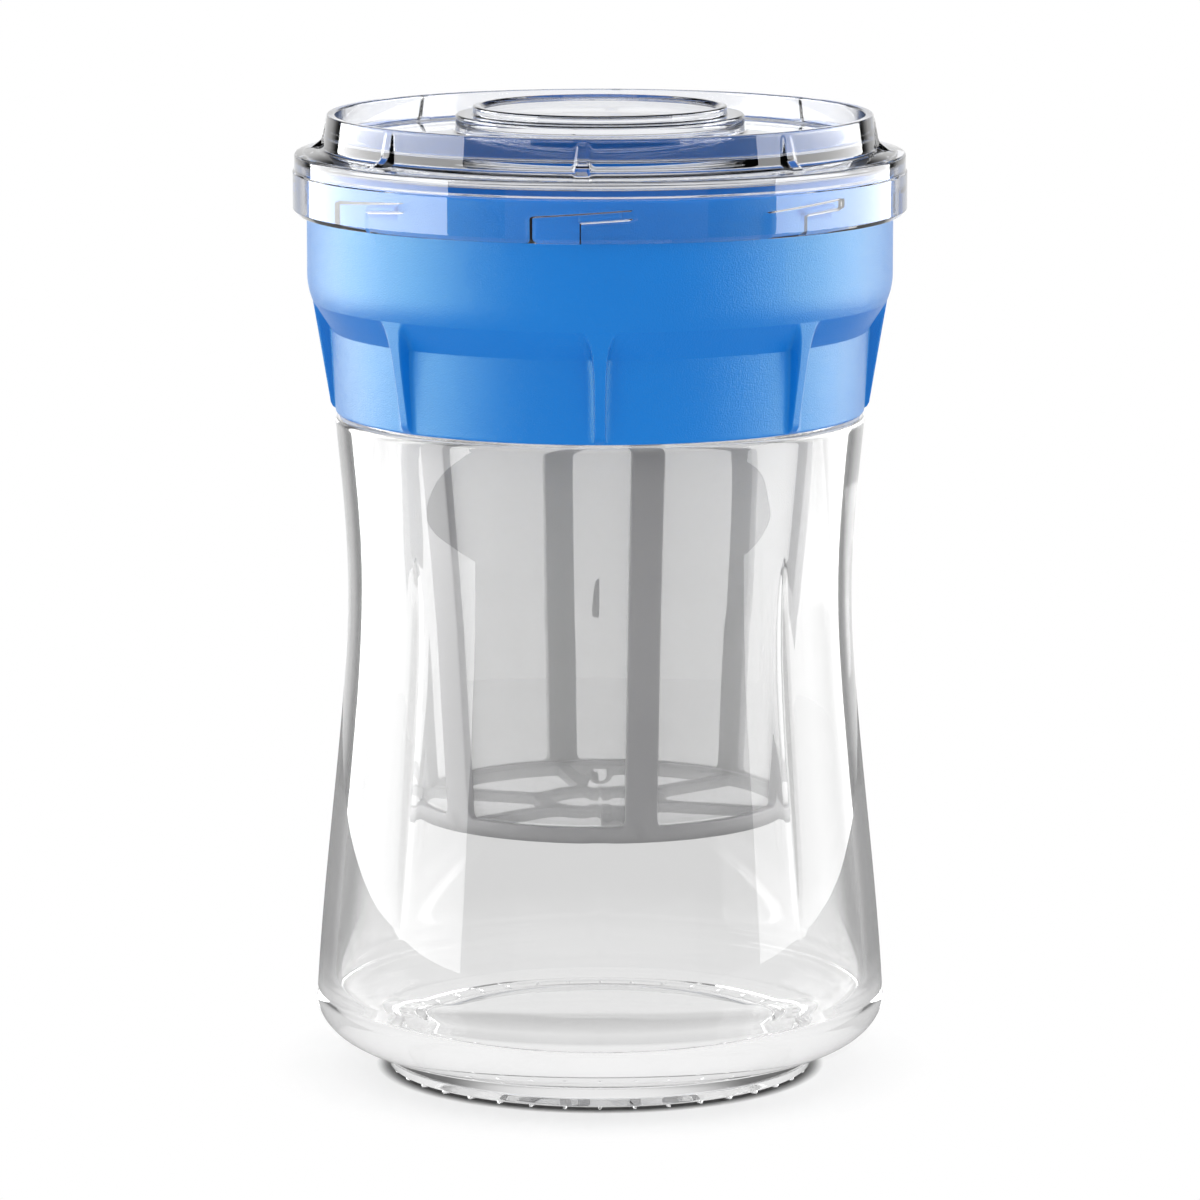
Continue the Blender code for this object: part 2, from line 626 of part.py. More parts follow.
def build_seal(axis):
    """The silicone ring between the collar's top and the lid."""
    silicone = finish("seal_silicone", (0.86, 0.86, 0.84), 0.55)
    inner = HOPPER_RADIUS - SEAL_INSET
    outer = DRUM_RADIUS
    outline = [(outer, 0.0), (outer, SEAL_THICKNESS), (inner, SEAL_THICKNESS), (inner, 0.0)]
    place(turned("lid_seal", outline, silicone), SEAL_SEAT, axis)


def lid_outline():
    """Half section of the lid above its underside, from the boss over the skirt and back."""
    band = LID_RADIUS - SKIRT_STEP
    edge_top = FLANGE_THICK - FLANGE_FALL
    crown_bore = CROWN_RIM - CROWN_WALL
    rim_top = FLANGE_THICK + CROWN_HEIGHT
    floor_low = FLANGE_THICK + FLOOR_LIFT
    floor_high = floor_low + FLOOR_RISE
    boss_top = floor_high + BOSS_HEIGHT
    button_top = boss_top + BUTTON_HEIGHT
    dish = BUTTON_RADIUS - BUTTON_RIM
    over = [(0.0, button_top - DISH_DEPTH), (dish - DISH_DEPTH, button_top - DISH_DEPTH)]
    over += [(dish, button_top), (BUTTON_RADIUS - LID_SOFT, button_top)]
    over += [(BUTTON_RADIUS, button_top - LID_SOFT), (BUTTON_RADIUS, boss_top)]
    over += [(BOSS_RADIUS - LID_SOFT, boss_top), (BOSS_RADIUS, boss_top - LID_SOFT)]
    over += [(BOSS_RADIUS, floor_high + LID_SOFT), (BOSS_RADIUS + LID_SOFT, floor_high)]
    over += [(crown_bore - CROWN_FILLET, floor_low), (crown_bore, floor_low + CROWN_FILLET)]
    over += [(crown_bore, rim_top), (CROWN_RIM, rim_top), (CROWN_FOOT, FLANGE_THICK + CROWN_FILLET)]
    over += [(CROWN_FOOT + CROWN_FILLET, FLANGE_THICK), (band - LID_LIP, edge_top + LIP_RISE)]
    over += [(band, edge_top - LID_LIP), (band, edge_top - SKIRT_BAND - LID_LIP)]
    over += [(LID_RADIUS, edge_top - SKIRT_BAND - LID_LIP - LIP_RISE)]
    over += [(LID_RADIUS, SKIRT_CHAMFER - SKIRT_DEPTH), (LID_RADIUS - SKIRT_CHAMFER, -SKIRT_DEPTH)]
    under = [(SKIRT_BORE, -SKIRT_DEPTH), (SKIRT_BORE, 0.0), (CROWN_FOOT - UNDER_INSET, 0.0)]
    under += [(crown_bore - UNDER_FILLET, floor_low - LID_PLATE)]
    under += [(BOSS_RADIUS - LID_PLATE, floor_high - LID_PLATE)]
    under += [(BOSS_RADIUS - LID_PLATE - LID_SOFT, boss_top - LID_PLATE), (0.0, boss_top - LID_PLATE)]
    return over + under


def slot_rings(angle):
    """A bayonet groove of the lid: a slot that climbs round the skirt."""
    lug_middle = COLLAR_TOP - LUG_DROP - LID_SEAT
    inner = SKIRT_BORE - OVERCUT
    outer = DRUM_RADIUS + LUG_REACH + CLEARANCE
    start = -LUG_ARC / 2 - LID_TURN - SLOT_SIDE_PLAY
    end = LUG_ARC / 2 + SLOT_END_PLAY
    bottom = lug_middle - LUG_HEIGHT / 2 - SLOT_CLEARANCE
    travel = SLOT_SLOPE * LID_TURN * outer
    top = lug_middle + LUG_HEIGHT / 2 + SLOT_CLEARANCE + travel
    rings = []
    for index in range(SLOT_SLICES + 1):
        offset = start + (end - start) * index / SLOT_SLICES
        lift = SLOT_SLOPE * offset * outer
        rings.append([
            polar(inner, angle + offset, bottom + lift), polar(outer, angle + offset, bottom + lift),
            polar(outer, angle + offset, top + lift), polar(inner, angle + offset, top + lift),
        ])
    return rings


def entry_rings(angle):
    """The upright mouth of a bayonet groove, from the skirt's lower edge up into the slot."""
    lug_middle = COLLAR_TOP - LUG_DROP - LID_SEAT
    inner = SKIRT_BORE - OVERCUT
    outer = DRUM_RADIUS + LUG_REACH + CLEARANCE
    span = LUG_ARC + 2 * SLOT_SIDE_PLAY
    return lug_rings(
        angle - LID_TURN, span, inner, outer, -SKIRT_DEPTH - OVERCUT, lug_middle - LUG_HEIGHT / 2,
    )


def gusset_rings(angle):
    """A thin fin between the crown's outer wall and the flange, hollowed along its edge."""
    top = FLANGE_THICK + CROWN_HEIGHT - 2 * GUSSET_SKIN
    root = CROWN_RIM - ROOT
    shin = (CROWN_FOOT + GUSSET_SKIN, FLANGE_THICK + GUSSET_RISE)
    edge = [(CROWN_RIM + GUSSET_SKIN, top)] + bezier(
        shin, (shin[0], FLANGE_THICK + 0.4 * GUSSET_RISE),
        (CROWN_FOOT + 0.5 * GUSSET_REACH, FLANGE_THICK + 0.1 * GUSSET_RISE),
        (CROWN_FOOT + GUSSET_REACH, FLANGE_THICK - GUSSET_SINK), GUSSET_SLICES,
    )
    outline = [(root, FLANGE_THICK - GUSSET_SINK), (root, top)] + edge
    rings = []
    for side in (-1.0, 1.0):
        ring = []
        for radius, height in outline:
            share = (height - FLANGE_THICK) / (top - FLANGE_THICK)
            half = 0.5 * (GUSSET_FOOT + max(share, 0.0) * (GUSSET_TIP - GUSSET_FOOT))
            ring.append(polar(radius, angle + side * half / radius, height))
        rings.append(ring)
    return rings


def build_lid(axis):
    """The clear lid with its crown, gussets and bayonet grooves."""
    clear = finish("clear_plastic", (0.95, 0.95, 0.95), 0.05, transmission=1.0)
    lid = turned("clear_lid", lid_outline(), clear, closed=False)
    combine(lid, patterned("gusset_guide", gusset_rings, SECTORS, GUSSET_TURN), "UNION")
    combine(lid, patterned("slot_cutter", slot_rings, SECTORS), "DIFFERENCE")
    combine(lid, patterned("entry_cutter", entry_rings, SECTORS), "DIFFERENCE")
    place(lid, LID_SEAT, axis)


def main():
    """Builds the whole object on one upright axis."""
    clear_scene()
    axis = bpy.data.objects.new("stack_axis", None)
    bpy.context.scene.collection.objects.link(axis)
    build_jar(axis)
    build_gasket(axis)
    build_collar(axis)
    build_strainer(axis)
    build_seal(axis)
    build_lid(axis)
    bpy.context.view_layer.update()


main()
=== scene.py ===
"""Looks of a soft cheese maker: glass jar, blue collar, hanging strainer and clear twist-on lid.

Every turned piece is one skin: a half section of (radius, height) points carried round the upright
axis, with the flutes, ribs, lugs and grooves pressed into it as functions of angle and height.
Angles are counted from the front (-Y) towards +X. The pieces' sizes are millimetres, and what the
finishes and the studio say in lengths is metres where their docstrings name no other unit.
"""

import json
import logging
import math
from dataclasses import dataclass
from enum import Enum
from typing import Callable, Sequence

import bmesh
import bpy
import numpy as np
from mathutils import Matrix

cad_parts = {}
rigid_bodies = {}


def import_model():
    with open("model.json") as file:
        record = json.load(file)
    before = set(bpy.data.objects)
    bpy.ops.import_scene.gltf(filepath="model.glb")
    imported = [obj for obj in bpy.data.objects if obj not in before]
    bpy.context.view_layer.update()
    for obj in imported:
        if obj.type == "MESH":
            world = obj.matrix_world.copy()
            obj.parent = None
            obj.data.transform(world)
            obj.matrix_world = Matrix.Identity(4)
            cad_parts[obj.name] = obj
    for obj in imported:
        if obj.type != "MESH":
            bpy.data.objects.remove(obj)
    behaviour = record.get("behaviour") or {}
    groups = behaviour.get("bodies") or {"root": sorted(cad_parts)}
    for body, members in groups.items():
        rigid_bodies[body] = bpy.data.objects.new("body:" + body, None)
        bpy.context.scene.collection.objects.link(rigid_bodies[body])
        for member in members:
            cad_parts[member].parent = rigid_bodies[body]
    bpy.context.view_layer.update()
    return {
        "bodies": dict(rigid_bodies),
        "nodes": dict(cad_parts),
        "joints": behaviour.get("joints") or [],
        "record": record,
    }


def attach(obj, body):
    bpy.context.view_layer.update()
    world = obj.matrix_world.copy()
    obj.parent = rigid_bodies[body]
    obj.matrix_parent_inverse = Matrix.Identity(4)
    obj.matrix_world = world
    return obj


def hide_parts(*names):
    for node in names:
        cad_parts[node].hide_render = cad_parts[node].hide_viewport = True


Array = np.ndarray
Socket = bpy.types.NodeSocket
Colour = tuple[float, float, float]

MM = 0.001
SECTORS = 8
PITCH = math.tau / SECTORS
WHITE = (1.0, 1.0, 1.0)
RIPPLES = 38.0  # waves in a metre of clear surface
UPRIGHT = (0.6, 0.35)  # up-share of a normal where a wall begins, and where it surely is one
SLACK = 1e-6
TWIST_LUGS = 4
TWIST_RISE = 0.5  # millimetres in which a twist lug rises below and falls above
TWIST_END = 0.03  # radians in which it falls at its ends
Place = Callable[[Array, Array, Array], Array]
LOG = logging.getLogger("soft_cheese_maker")


class Body(Enum):
    """The moving bodies that pieces ride on."""

    JAR = "jar"
    GASKET = "gasket"
    COLLAR = "collar"
    STRAINER = "strainer"
    SEAL = "seal"
    LID = "lid"


class Slot(Enum):
    """The record's material slots."""

    GLASS = "glass"
    BLUE = "blue_plastic"
    CLEAR = "clear_plastic"
    GREY = "strainer_plastic"
    GAUZE = "strainer_gauze"
    SILICONE = "silicone"


# Lines and curves of a half section


def smoothstep(low: float, high: float, value: Array) -> Array:
    """Rises from 0 at low to 1 at high along t * t * (3 - 2 t).

    Args:
        low: value where the rise begins.
        high: value where it ends.
        value: where to read it.

    Returns:
        The rise at each value.
    """
    share = np.clip((value - low) / (high - low), 0.0, 1.0)
    return share * share * (3.0 - 2.0 * share)


def plateau(low: float, high: float, rise: float, value: Array) -> Array:
    """Leaves 0 at low, is 1 in between and back at 0 at high, with a smoothstep at each end.

    Args:
        low: value where it begins.
        high: value where it ends.
        rise: width of each smoothstep.
        value: where to read it.

    Returns:
        The height of the plateau at each value, from 0 to 1.
    """
    return smoothstep(low, low + rise, value) * (1.0 - smoothstep(high - rise, high, value))


def bezier(points: Sequence[Sequence[float]], steps: int) -> Array:
    """Cubic curve through its first and last point, steered by the two between.

    Args:
        points: four (radius, height) points.
        steps: number of stretches along the curve.

    Returns:
        steps + 1 points, weighted by the four Bernstein polynomials.
    """
    corners = np.asarray(points, float)
    t = np.linspace(0.0, 1.0, steps + 1)[:, None]
    weights = np.hstack([(1 - t) ** 3, 3 * t * (1 - t) ** 2, 3 * t * t * (1 - t), t ** 3])
    return weights @ corners


def rounded(corners: Sequence[Sequence[float]], steps: int = 4, ring: bool = False) -> Array:
    """Rounds the corners of a line of (radius, height, rounding) points.

    The arc of radius a at a corner touches both sides at a / tan(half the inner angle) from it, and
    its points lie at even angles. A point on each long side holds the flat next to the arc flat.

    Args:
        corners: radius, height and rounding of each corner, in one unit.
        steps: stretches of each arc.
        ring: whether the last corner joins the first.

    Returns:
        The rounded line as (radius, height) rows.
    """
    line = np.asarray(corners, float)
    count = len(line)
    parts = []
    for index, (radius, height, rounding) in enumerate(line):
        corner = np.array([radius, height])
        if rounding <= 0.0 or (not ring and index in (0, count - 1)):
            parts.append(corner[None])
            continue
        back = line[index - 1, :2] - corner
        ahead = line[(index + 1) % count, :2] - corner
        back_length, ahead_length = np.linalg.norm(back), np.linalg.norm(ahead)
        back, ahead = back / back_length, ahead / ahead_length
        half = 0.5 * math.acos(float(np.clip(back @ ahead, -1.0, 1.0)))
        reach = min(rounding / math.tan(half), 0.46 * back_length, 0.46 * ahead_length)
        arc_radius = reach * math.tan(half)
        middle = (back + ahead) / np.linalg.norm(back + ahead)
        centre = corner + middle * arc_radius / math.sin(half)
        start, end = corner + back * reach - centre, corner + ahead * reach - centre
        first = math.atan2(start[1], start[0])
        turn = (math.atan2(end[1], end[0]) - first + math.pi) % math.tau - math.pi
        angles = first + turn * np.linspace(0.0, 1.0, steps + 1)
        arc = centre + arc_radius * np.column_stack([np.cos(angles), np.sin(angles)])
        hold = min(0.25, 0.5 * arc_radius + 0.05)
        if back_length - 2 * reach > 4 * hold:
            parts.append((corner + back * (reach + hold))[None])
        parts.append(arc)
        if ahead_length - 2 * reach > 4 * hold:
            parts.append((corner + ahead * (reach + hold))[None])
    return np.concatenate(parts)


def refined(line: Array, longest: float, ring: bool = False) -> Array:
    """Splits the stretches of a line evenly so that none is longer than a length.

    Args:
        line: (radius, height) rows.
        longest: the longest stretch to leave.
        ring: whether the last point joins the first.

    Returns:
        The line with the extra points on it.
    """
    ends = np.roll(line, -1, axis=0) if ring else line[1:]
    starts = line if ring else line[:-1]
    parts = []
    for start, end in zip(starts, ends):
        pieces = max(1, math.ceil(float(np.linalg.norm(end - start)) / longest))
        share = np.arange(pieces)[:, None] / pieces
        parts.append(start + share * (end - start))
    if not ring:
        parts.append(line[-1:])
    return np.concatenate(parts)


# Grids carried round the axis


def spread(keys: Array, counts: Sequence[int]) -> Array:
    """Fills each stretch between neighbouring key angles with evenly spaced columns.

    Args:
        keys: (rows, keys) angles across one sector.
        counts: columns from each key up to, and without, the next.

    Returns:
        (rows, sum of counts) angles.
    """
    parts = []
    for index, count in enumerate(counts):
        share = np.arange(count) / count
        parts.append(keys[:, index:index + 1] * (1 - share) + keys[:, index + 1:index + 2] * share)
    return np.concatenate(parts, axis=1)


def around(offsets: Array) -> tuple[Array, Array]:
    """Repeats one sector's columns round the whole circle.

    Args:
        offsets: (rows, columns) angles within a sector, counted from its middle.

    Returns:
        The angle of every column, and its offset from the middle of its sector.
    """
    angles = np.concatenate([offsets + PITCH * sector for sector in range(SECTORS)], axis=1)
    return angles, np.tile(offsets, (1, SECTORS))


def key_angles(rows: int, *keys: Array | float) -> Array:
    """Sets key angles side by side, each one number for all rows or one for each row.

    Args:
        rows: number of rows.
        keys: the angles across one sector, in order.

    Returns:
        (rows, keys) angles.
    """
    return np.hstack([np.broadcast_to(key, (rows, 1)) for key in keys])


def circle(columns: int) -> Array:
    """Even angles round the axis, as one row."""
    return np.linspace(0.0, math.tau, columns, endpoint=False)[None]


def polar(radius: Array, angle: Array, height: Array) -> Array:
    """Points at a radius and an angle from the front: (r sin a, -r cos a, h).

    Args:
        radius: distance from the axis.
        angle: angle from the front, in radians.
        height: height above the foot.

    Returns:
        An array of x, y and z along a last axis, in the unit of the radius.
    """
    radius, angle, height = np.broadcast_arrays(radius, angle, height)
    return np.stack([radius * np.sin(angle), -radius * np.cos(angle), height], axis=-1)


def grid_faces(rows: int, columns: int, ring: bool) -> Array:
    """Quads of a grid whose last column joins its first.

    Args:
        rows: number of rows.
        columns: number of columns.
        ring: whether the last row joins the first.

    Returns:
        (faces, 4) vertex numbers, counted row by row.
    """
    index = np.arange(rows * columns).reshape(rows, columns)
    upper = np.roll(index, -1, axis=0) if ring else index[1:]
    lower = index if ring else index[:-1]
    quads = np.stack([lower, np.roll(lower, -1, axis=1), np.roll(upper, -1, axis=1), upper], axis=-1)
    return quads.reshape(-1, 4)


def shell(points: Array, ring: bool = False) -> tuple[Array, Array]:
    """A grid's points with its faces; ring says whether the last row joins the first."""
    return points, grid_faces(*points.shape[:2], ring=ring)


def twist_lugs(angle: Array, height: Array, top: float, tall: float, arc: float) -> Array:
    """The lugs by which the collar twists onto the jar's neck, with soft edges.

    Args:
        angle: angle from the front.
        height: height above the foot.
        top: the lugs' upper edge.
        tall: the lugs' height.
        arc: the angle that each lug takes up.

    Returns:
        How far each point belongs to a lug, from 0 to 1.
    """
    turn = math.tau / TWIST_LUGS
    from_lug = np.abs((angle + turn / 2) % turn - turn / 2)
    along = 1.0 - smoothstep(arc / 2 - TWIST_END, arc / 2, from_lug)
    return plateau(top - tall, top, TWIST_RISE, height) * along


def joined(shells: Sequence[tuple[Array, Array]]) -> tuple[Array, Array]:
    """Counts the points of several shells through and joins their lists.

    Args:
        shells: pairs of (points, faces).

    Returns:
        All points as (points, 3) and all faces.
    """
    points, faces, base = [], [], 0
    for grid, quads in shells:
        points.append(grid.reshape(-1, 3))
        faces.append(quads + base)
        base += len(points[-1])
    return np.concatenate(points), np.concatenate(faces)


def skin(name: str, shells: Sequence[tuple[Array, Array]], cover: Array | None = None) -> bpy.types.Object:
    """Makes one object from grids of points in millimetres, with closed seams and outward faces.

    Args:
        name: the piece's name.
        shells: pairs of (points, faces), each a closed surface once its doubles are merged.
        cover: texture places in metres of every point, shell after shell, or none.

    Returns:
        The finished object, at the origin.
    """
    points, faces = joined(shells)
    mesh = bpy.data.meshes.new(name)
    mesh.from_pydata((points * MM).tolist(), [], faces.tolist())
    if cover is not None:
        layer = mesh.uv_layers.new(name="cover")
        places = cover.reshape(-1, 2)[faces.reshape(-1)]
        layer.data.foreach_set("uv", places.astype(np.float32).ravel())
    body = bmesh.new()
    body.from_mesh(mesh)
    bmesh.ops.remove_doubles(body, verts=body.verts, dist=0.002 * MM)
    bmesh.ops.recalc_face_normals(body, faces=body.faces)
    body.to_mesh(mesh)
    body.free()
    mesh.validate()
    mesh.shade_smooth()
    piece = bpy.data.objects.new(name, mesh)
    bpy.context.scene.collection.objects.link(piece)
    return piece


def settle(piece: bpy.types.Object, material: bpy.types.Material, body: Body, node: str) -> None:
    """Dresses a piece, lets it ride on its body and stand for its solid.

    Args:
        piece: the finished piece.
        material: its finish.
        body: the body that carries it.
        node: the solid it stands for.
    """
    piece.data.materials.append(material)
    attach(piece, body.value)
    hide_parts(node)
    LOG.info("%s: %d faces on %s", piece.name, len(piece.data.polygons), body.value)


# Finishes


class Tree:
    """Adds nodes to a shader tree and joins them."""

    def __init__(self, tree: bpy.types.NodeTree) -> None:
        """Keeps the tree to add to."""
        self.tree = tree

    def fill(self, node: bpy.types.Node, values: dict[str | int, object]) -> bpy.types.Node:
        """Sets inputs of a node.

        Args:
            node: the node.
            values: a socket to link, a number or a colour for each input, by its name or place.

        Returns:
            The node.
        """
        for name, value in values.items():
            socket = node.inputs[name]
            if isinstance(value, bpy.types.NodeSocket):
                self.tree.links.new(value, socket)
            else:
                socket.default_value = (*value, 1.0) if socket.type == "RGBA" else value
        return node

    def add(
        self, kind: str, values: dict[str | int, object] | None = None, **traits: object,
    ) -> bpy.types.Node:
        """Adds a node.

        Args:
            kind: Blender's name of the node, without its first word.
            values: what to set or link its inputs to.
            traits: its other settings.

        Returns:
            The node.
        """
        node = self.tree.nodes.new(f"ShaderNode{kind}")
        for name, trait in traits.items():
            setattr(node, name, trait)
        return self.fill(node, values or {})

    def math(self, operation: str, first: Socket | float, second: Socket | float = 0.0) -> Socket:
        """The result of a Math node."""
        return self.add("Math", {0: first, 1: second}, operation=operation).outputs[0]

    def ramp(self, value: Socket, low: float, high: float, shape: str = "SMOOTHSTEP") -> Socket:
        """Rises from 0 at low to 1 at high."""
        values = {"Value": value, "From Min": low, "From Max": high}
        return self.add("MapRange", values, interpolation_type=shape).outputs["Result"]

    def mix(self, share: Socket, first: Socket | Colour, second: Socket | Colour) -> Socket:
        """Mixes two colours.

        Args:
            share: how much of the second colour shows.
            first: a socket or a colour.
            second: a socket or a colour.

        Returns:
            The mixed colour.
        """
        node = self.add("Mix", {"Factor": share}, data_type="RGBA")
        places = {socket.name: index for index, socket in enumerate(node.inputs) if socket.type == "RGBA"}
        self.fill(node, {places["A"]: first, places["B"]: second})
        return next(socket for socket in node.outputs if socket.type == "RGBA")


def blank_material(name: str) -> tuple[bpy.types.Material, Tree, bpy.types.Node, bpy.types.Node]:
    """Makes a material to be dressed.

    Args:
        name: its name.

    Returns:
        The material, its tree, its Principled BSDF and its output node.
    """
    material = bpy.data.materials.new(name)
    material.use_nodes = True
    nodes = material.node_tree.nodes
    return material, Tree(material.node_tree), nodes["Principled BSDF"], nodes["Material Output"]


def moulded_grain() -> bpy.types.NodeTree:
    """The group that gives moulded plastic its fine grain and soft unevenness.

    Returns:
        A group with the inputs Vector, Grain (grains in a metre) and Depth (metres), and the
        outputs Mask (0 to 1, slow unevenness), Speck (0 to 1, fine) and Normal.
    """
    name = "moulded grain"
    if name in bpy.data.node_groups:
        return bpy.data.node_groups[name]
    group = bpy.data.node_groups.new(name, "ShaderNodeTree")
    for way, label, kind in (
        ("INPUT", "Vector", "Vector"), ("INPUT", "Grain", "Float"), ("INPUT", "Depth", "Float"),
        ("OUTPUT", "Mask", "Float"), ("OUTPUT", "Speck", "Float"), ("OUTPUT", "Normal", "Vector"),
    ):
        group.interface.new_socket(label, in_out=way, socket_type=f"NodeSocket{kind}")
    tree = Tree(group)
    entry = group.nodes.new("NodeGroupInput").outputs
    fine = tree.add("TexNoise", {
        "Vector": entry["Vector"], "Scale": entry["Grain"], "Detail": 3.0, "Roughness": 0.6,
    }).outputs["Fac"]
    slow = tree.add("TexNoise", {"Vector": entry["Vector"], "Scale": 45.0, "Detail": 2.0}).outputs["Fac"]
    bump = tree.add("Bump", {"Strength": 1.0, "Distance": entry["Depth"], "Height": fine}).outputs["Normal"]
    tree.fill(group.nodes.new("NodeGroupOutput"), {"Mask": slow, "Speck": fine, "Normal": bump})
    return group


@dataclass(frozen=True)
class MouldedFinish:
    """Opaque moulded plastic with a fine grain; sheen is the colour of its gloss seen straight on.

    The last three sizes say how strongly the fine and the slow noise show in the colour, and the
    fine one in the roughness.
    """

    name: str
    colour: Colour
    shade: Colour
    roughness: float
    specular: float = 0.5
    sheen: Colour = WHITE
    grain: float = 2600.0
    depth: float = 0.00002
    speck: float = 0.35
    cloud: float = 0.5
    uneven: float = 0.12

    def make(self) -> bpy.types.Material:
        """Builds the material.

        Returns:
            The material.
        """
        material, tree, shader, _ = blank_material(self.name)
        grain = tree.fill(tree.add("Group", node_tree=moulded_grain()), {
            "Vector": tree.add("TexCoord").outputs["Object"], "Grain": self.grain, "Depth": self.depth,
        }).outputs
        share = tree.math("ADD", tree.math("MULTIPLY", grain["Speck"], self.speck),
                          tree.math("MULTIPLY", grain["Mask"], self.cloud))
        rough = tree.math("MULTIPLY", grain["Speck"], self.uneven)
        rough = tree.math("ADD", rough, self.roughness - 0.5 * self.uneven)
        tree.fill(shader, {
            "Base Color": tree.mix(share, self.colour, self.shade), "Roughness": rough,
            "Specular IOR Level": self.specular, "Specular Tint": self.sheen, "Normal": grain["Normal"],
        })
        return material


@dataclass(frozen=True)
class ClearFinish:
    """Glass or clear plastic: bright through its face, painted dark on upright walls seen edge on.

    The edge colour is painted shade, the darkness of a clear wall seen edge on; it comes in between
    the edge's start and end, two shares of Layer Weight's facing. The tint and the edge shade both
    come in between the foot's two heights in millimetres, so below them the foot is painted paler. A
    ray that was mirrored more than most_turns times goes straight on, like a ray from a lamp; passing
    is the share of such rays that stays. most_turns is a whole number and a half.
    """

    name: str
    tint: Colour
    # painted shade: the colour that a clear wall takes where it is seen edge on
    edge: Colour
    edge_shade_start: float
    edge_shade_end: float
    ior: float
    ripple: float
    sheen: float = 1.0
    most_turns: float = 9.5
    foot: tuple[float, float] = (0.0, 1.0)
    passing: float = 0.95

    def make(self) -> bpy.types.Material:
        """Builds the material, which lamps' rays and rays that turned too often pass as through a filter.

        Returns:
            The material.
        """
        material, tree, shader, output = blank_material(self.name)
        place = tree.add("TexCoord").outputs
        height = tree.add("SeparateXYZ", {"Vector": place["Object"]}).outputs["Z"]
        tilt = tree.add("SeparateXYZ", {"Vector": place["Normal"]}).outputs["Z"]
        facing = tree.add("LayerWeight", {"Blend": 0.5}).outputs["Facing"]
        # painted paler foot: below the foot's heights the tint and the edge shade give way to white
        rise = tree.ramp(height, self.foot[0] * MM, self.foot[1] * MM)
        # painted edge shade: it comes in where the face is seen edge on, on upright walls, above the foot
        share = tree.math("MULTIPLY", tree.ramp(facing, self.edge_shade_start, self.edge_shade_end), rise)
        share = tree.math("MULTIPLY", share, tree.ramp(tree.math("ABSOLUTE", tilt), *UPRIGHT))
        waves = tree.add("TexNoise", {"Vector": place["Object"], "Scale": RIPPLES, "Detail": 1.0})
        bump = tree.add("Bump", {"Strength": 1.0, "Distance": self.ripple, "Height": waves.outputs["Fac"]})
        tree.fill(shader, {
            "Base Color": tree.mix(share, tree.mix(rise, WHITE, self.tint), self.edge),
            "Roughness": 0.0, "IOR": self.ior, "Transmission Weight": 1.0,
            "Specular Tint": (self.sheen,) * 3, "Normal": bump.outputs["Normal"],
        })
        path = tree.add("LightPath").outputs
        turned = tree.math("GREATER_THAN", path["Glossy Depth"], self.most_turns)
        clear = tree.add("BsdfTransparent", {"Color": (self.passing,) * 3})
        mix = tree.add("MixShader", {
            "Fac": tree.math("MAXIMUM", path["Is Shadow Ray"], turned),
            1: shader.outputs["BSDF"], 2: clear.outputs["BSDF"],
        })
        tree.fill(output, {"Surface": mix.outputs["Shader"]})
        return material


@dataclass(frozen=True)
class GauzeFinish:
    """Fine square weave of pale threads; cover and gap_cover say how much threads and gaps hide."""

    name: str
    thread: Colour
    # painted shade: the colour of the weave off the threads' crowns and in the gaps
    shade: Colour
    pitch_mm: float
    gap: float
    cover: float
    gap_cover: float

    def make(self) -> bpy.types.Material:
        """Builds the material from the piece's own texture places, which are in metres.

        Returns:
            The material.
        """
        material, tree, shader, _ = blank_material(self.name)
        split = tree.add("SeparateXYZ", {"Vector": tree.add("UVMap", uv_map="cover").outputs["UV"]}).outputs
        masks, crowns = [], []
        for axis in ("X", "Y"):
            wave = tree.math("PINGPONG", tree.math("MULTIPLY", split[axis], 1.0 / (self.pitch_mm * MM)), 0.5)
            masks.append(tree.math("GREATER_THAN", wave, 0.5 * self.gap))
            crowns.append(tree.math("MULTIPLY", wave, 2.0))
        threads = tree.math("MULTIPLY", tree.math("MAXIMUM", *masks), self.cover - self.gap_cover)
        # painted shade: the colour darkens from the threads' crowns towards their edges and into the gaps
        height = tree.math("MAXIMUM", *crowns)
        bump = tree.add("Bump", {"Strength": 0.5, "Distance": 0.00005, "Height": height})
        tree.fill(shader, {
            "Alpha": tree.math("ADD", threads, self.gap_cover), "Roughness": 0.55,
            "Base Color": tree.mix(height, self.shade, self.thread), "Normal": bump.outputs["Normal"],
        })
        return material


# The glass jar


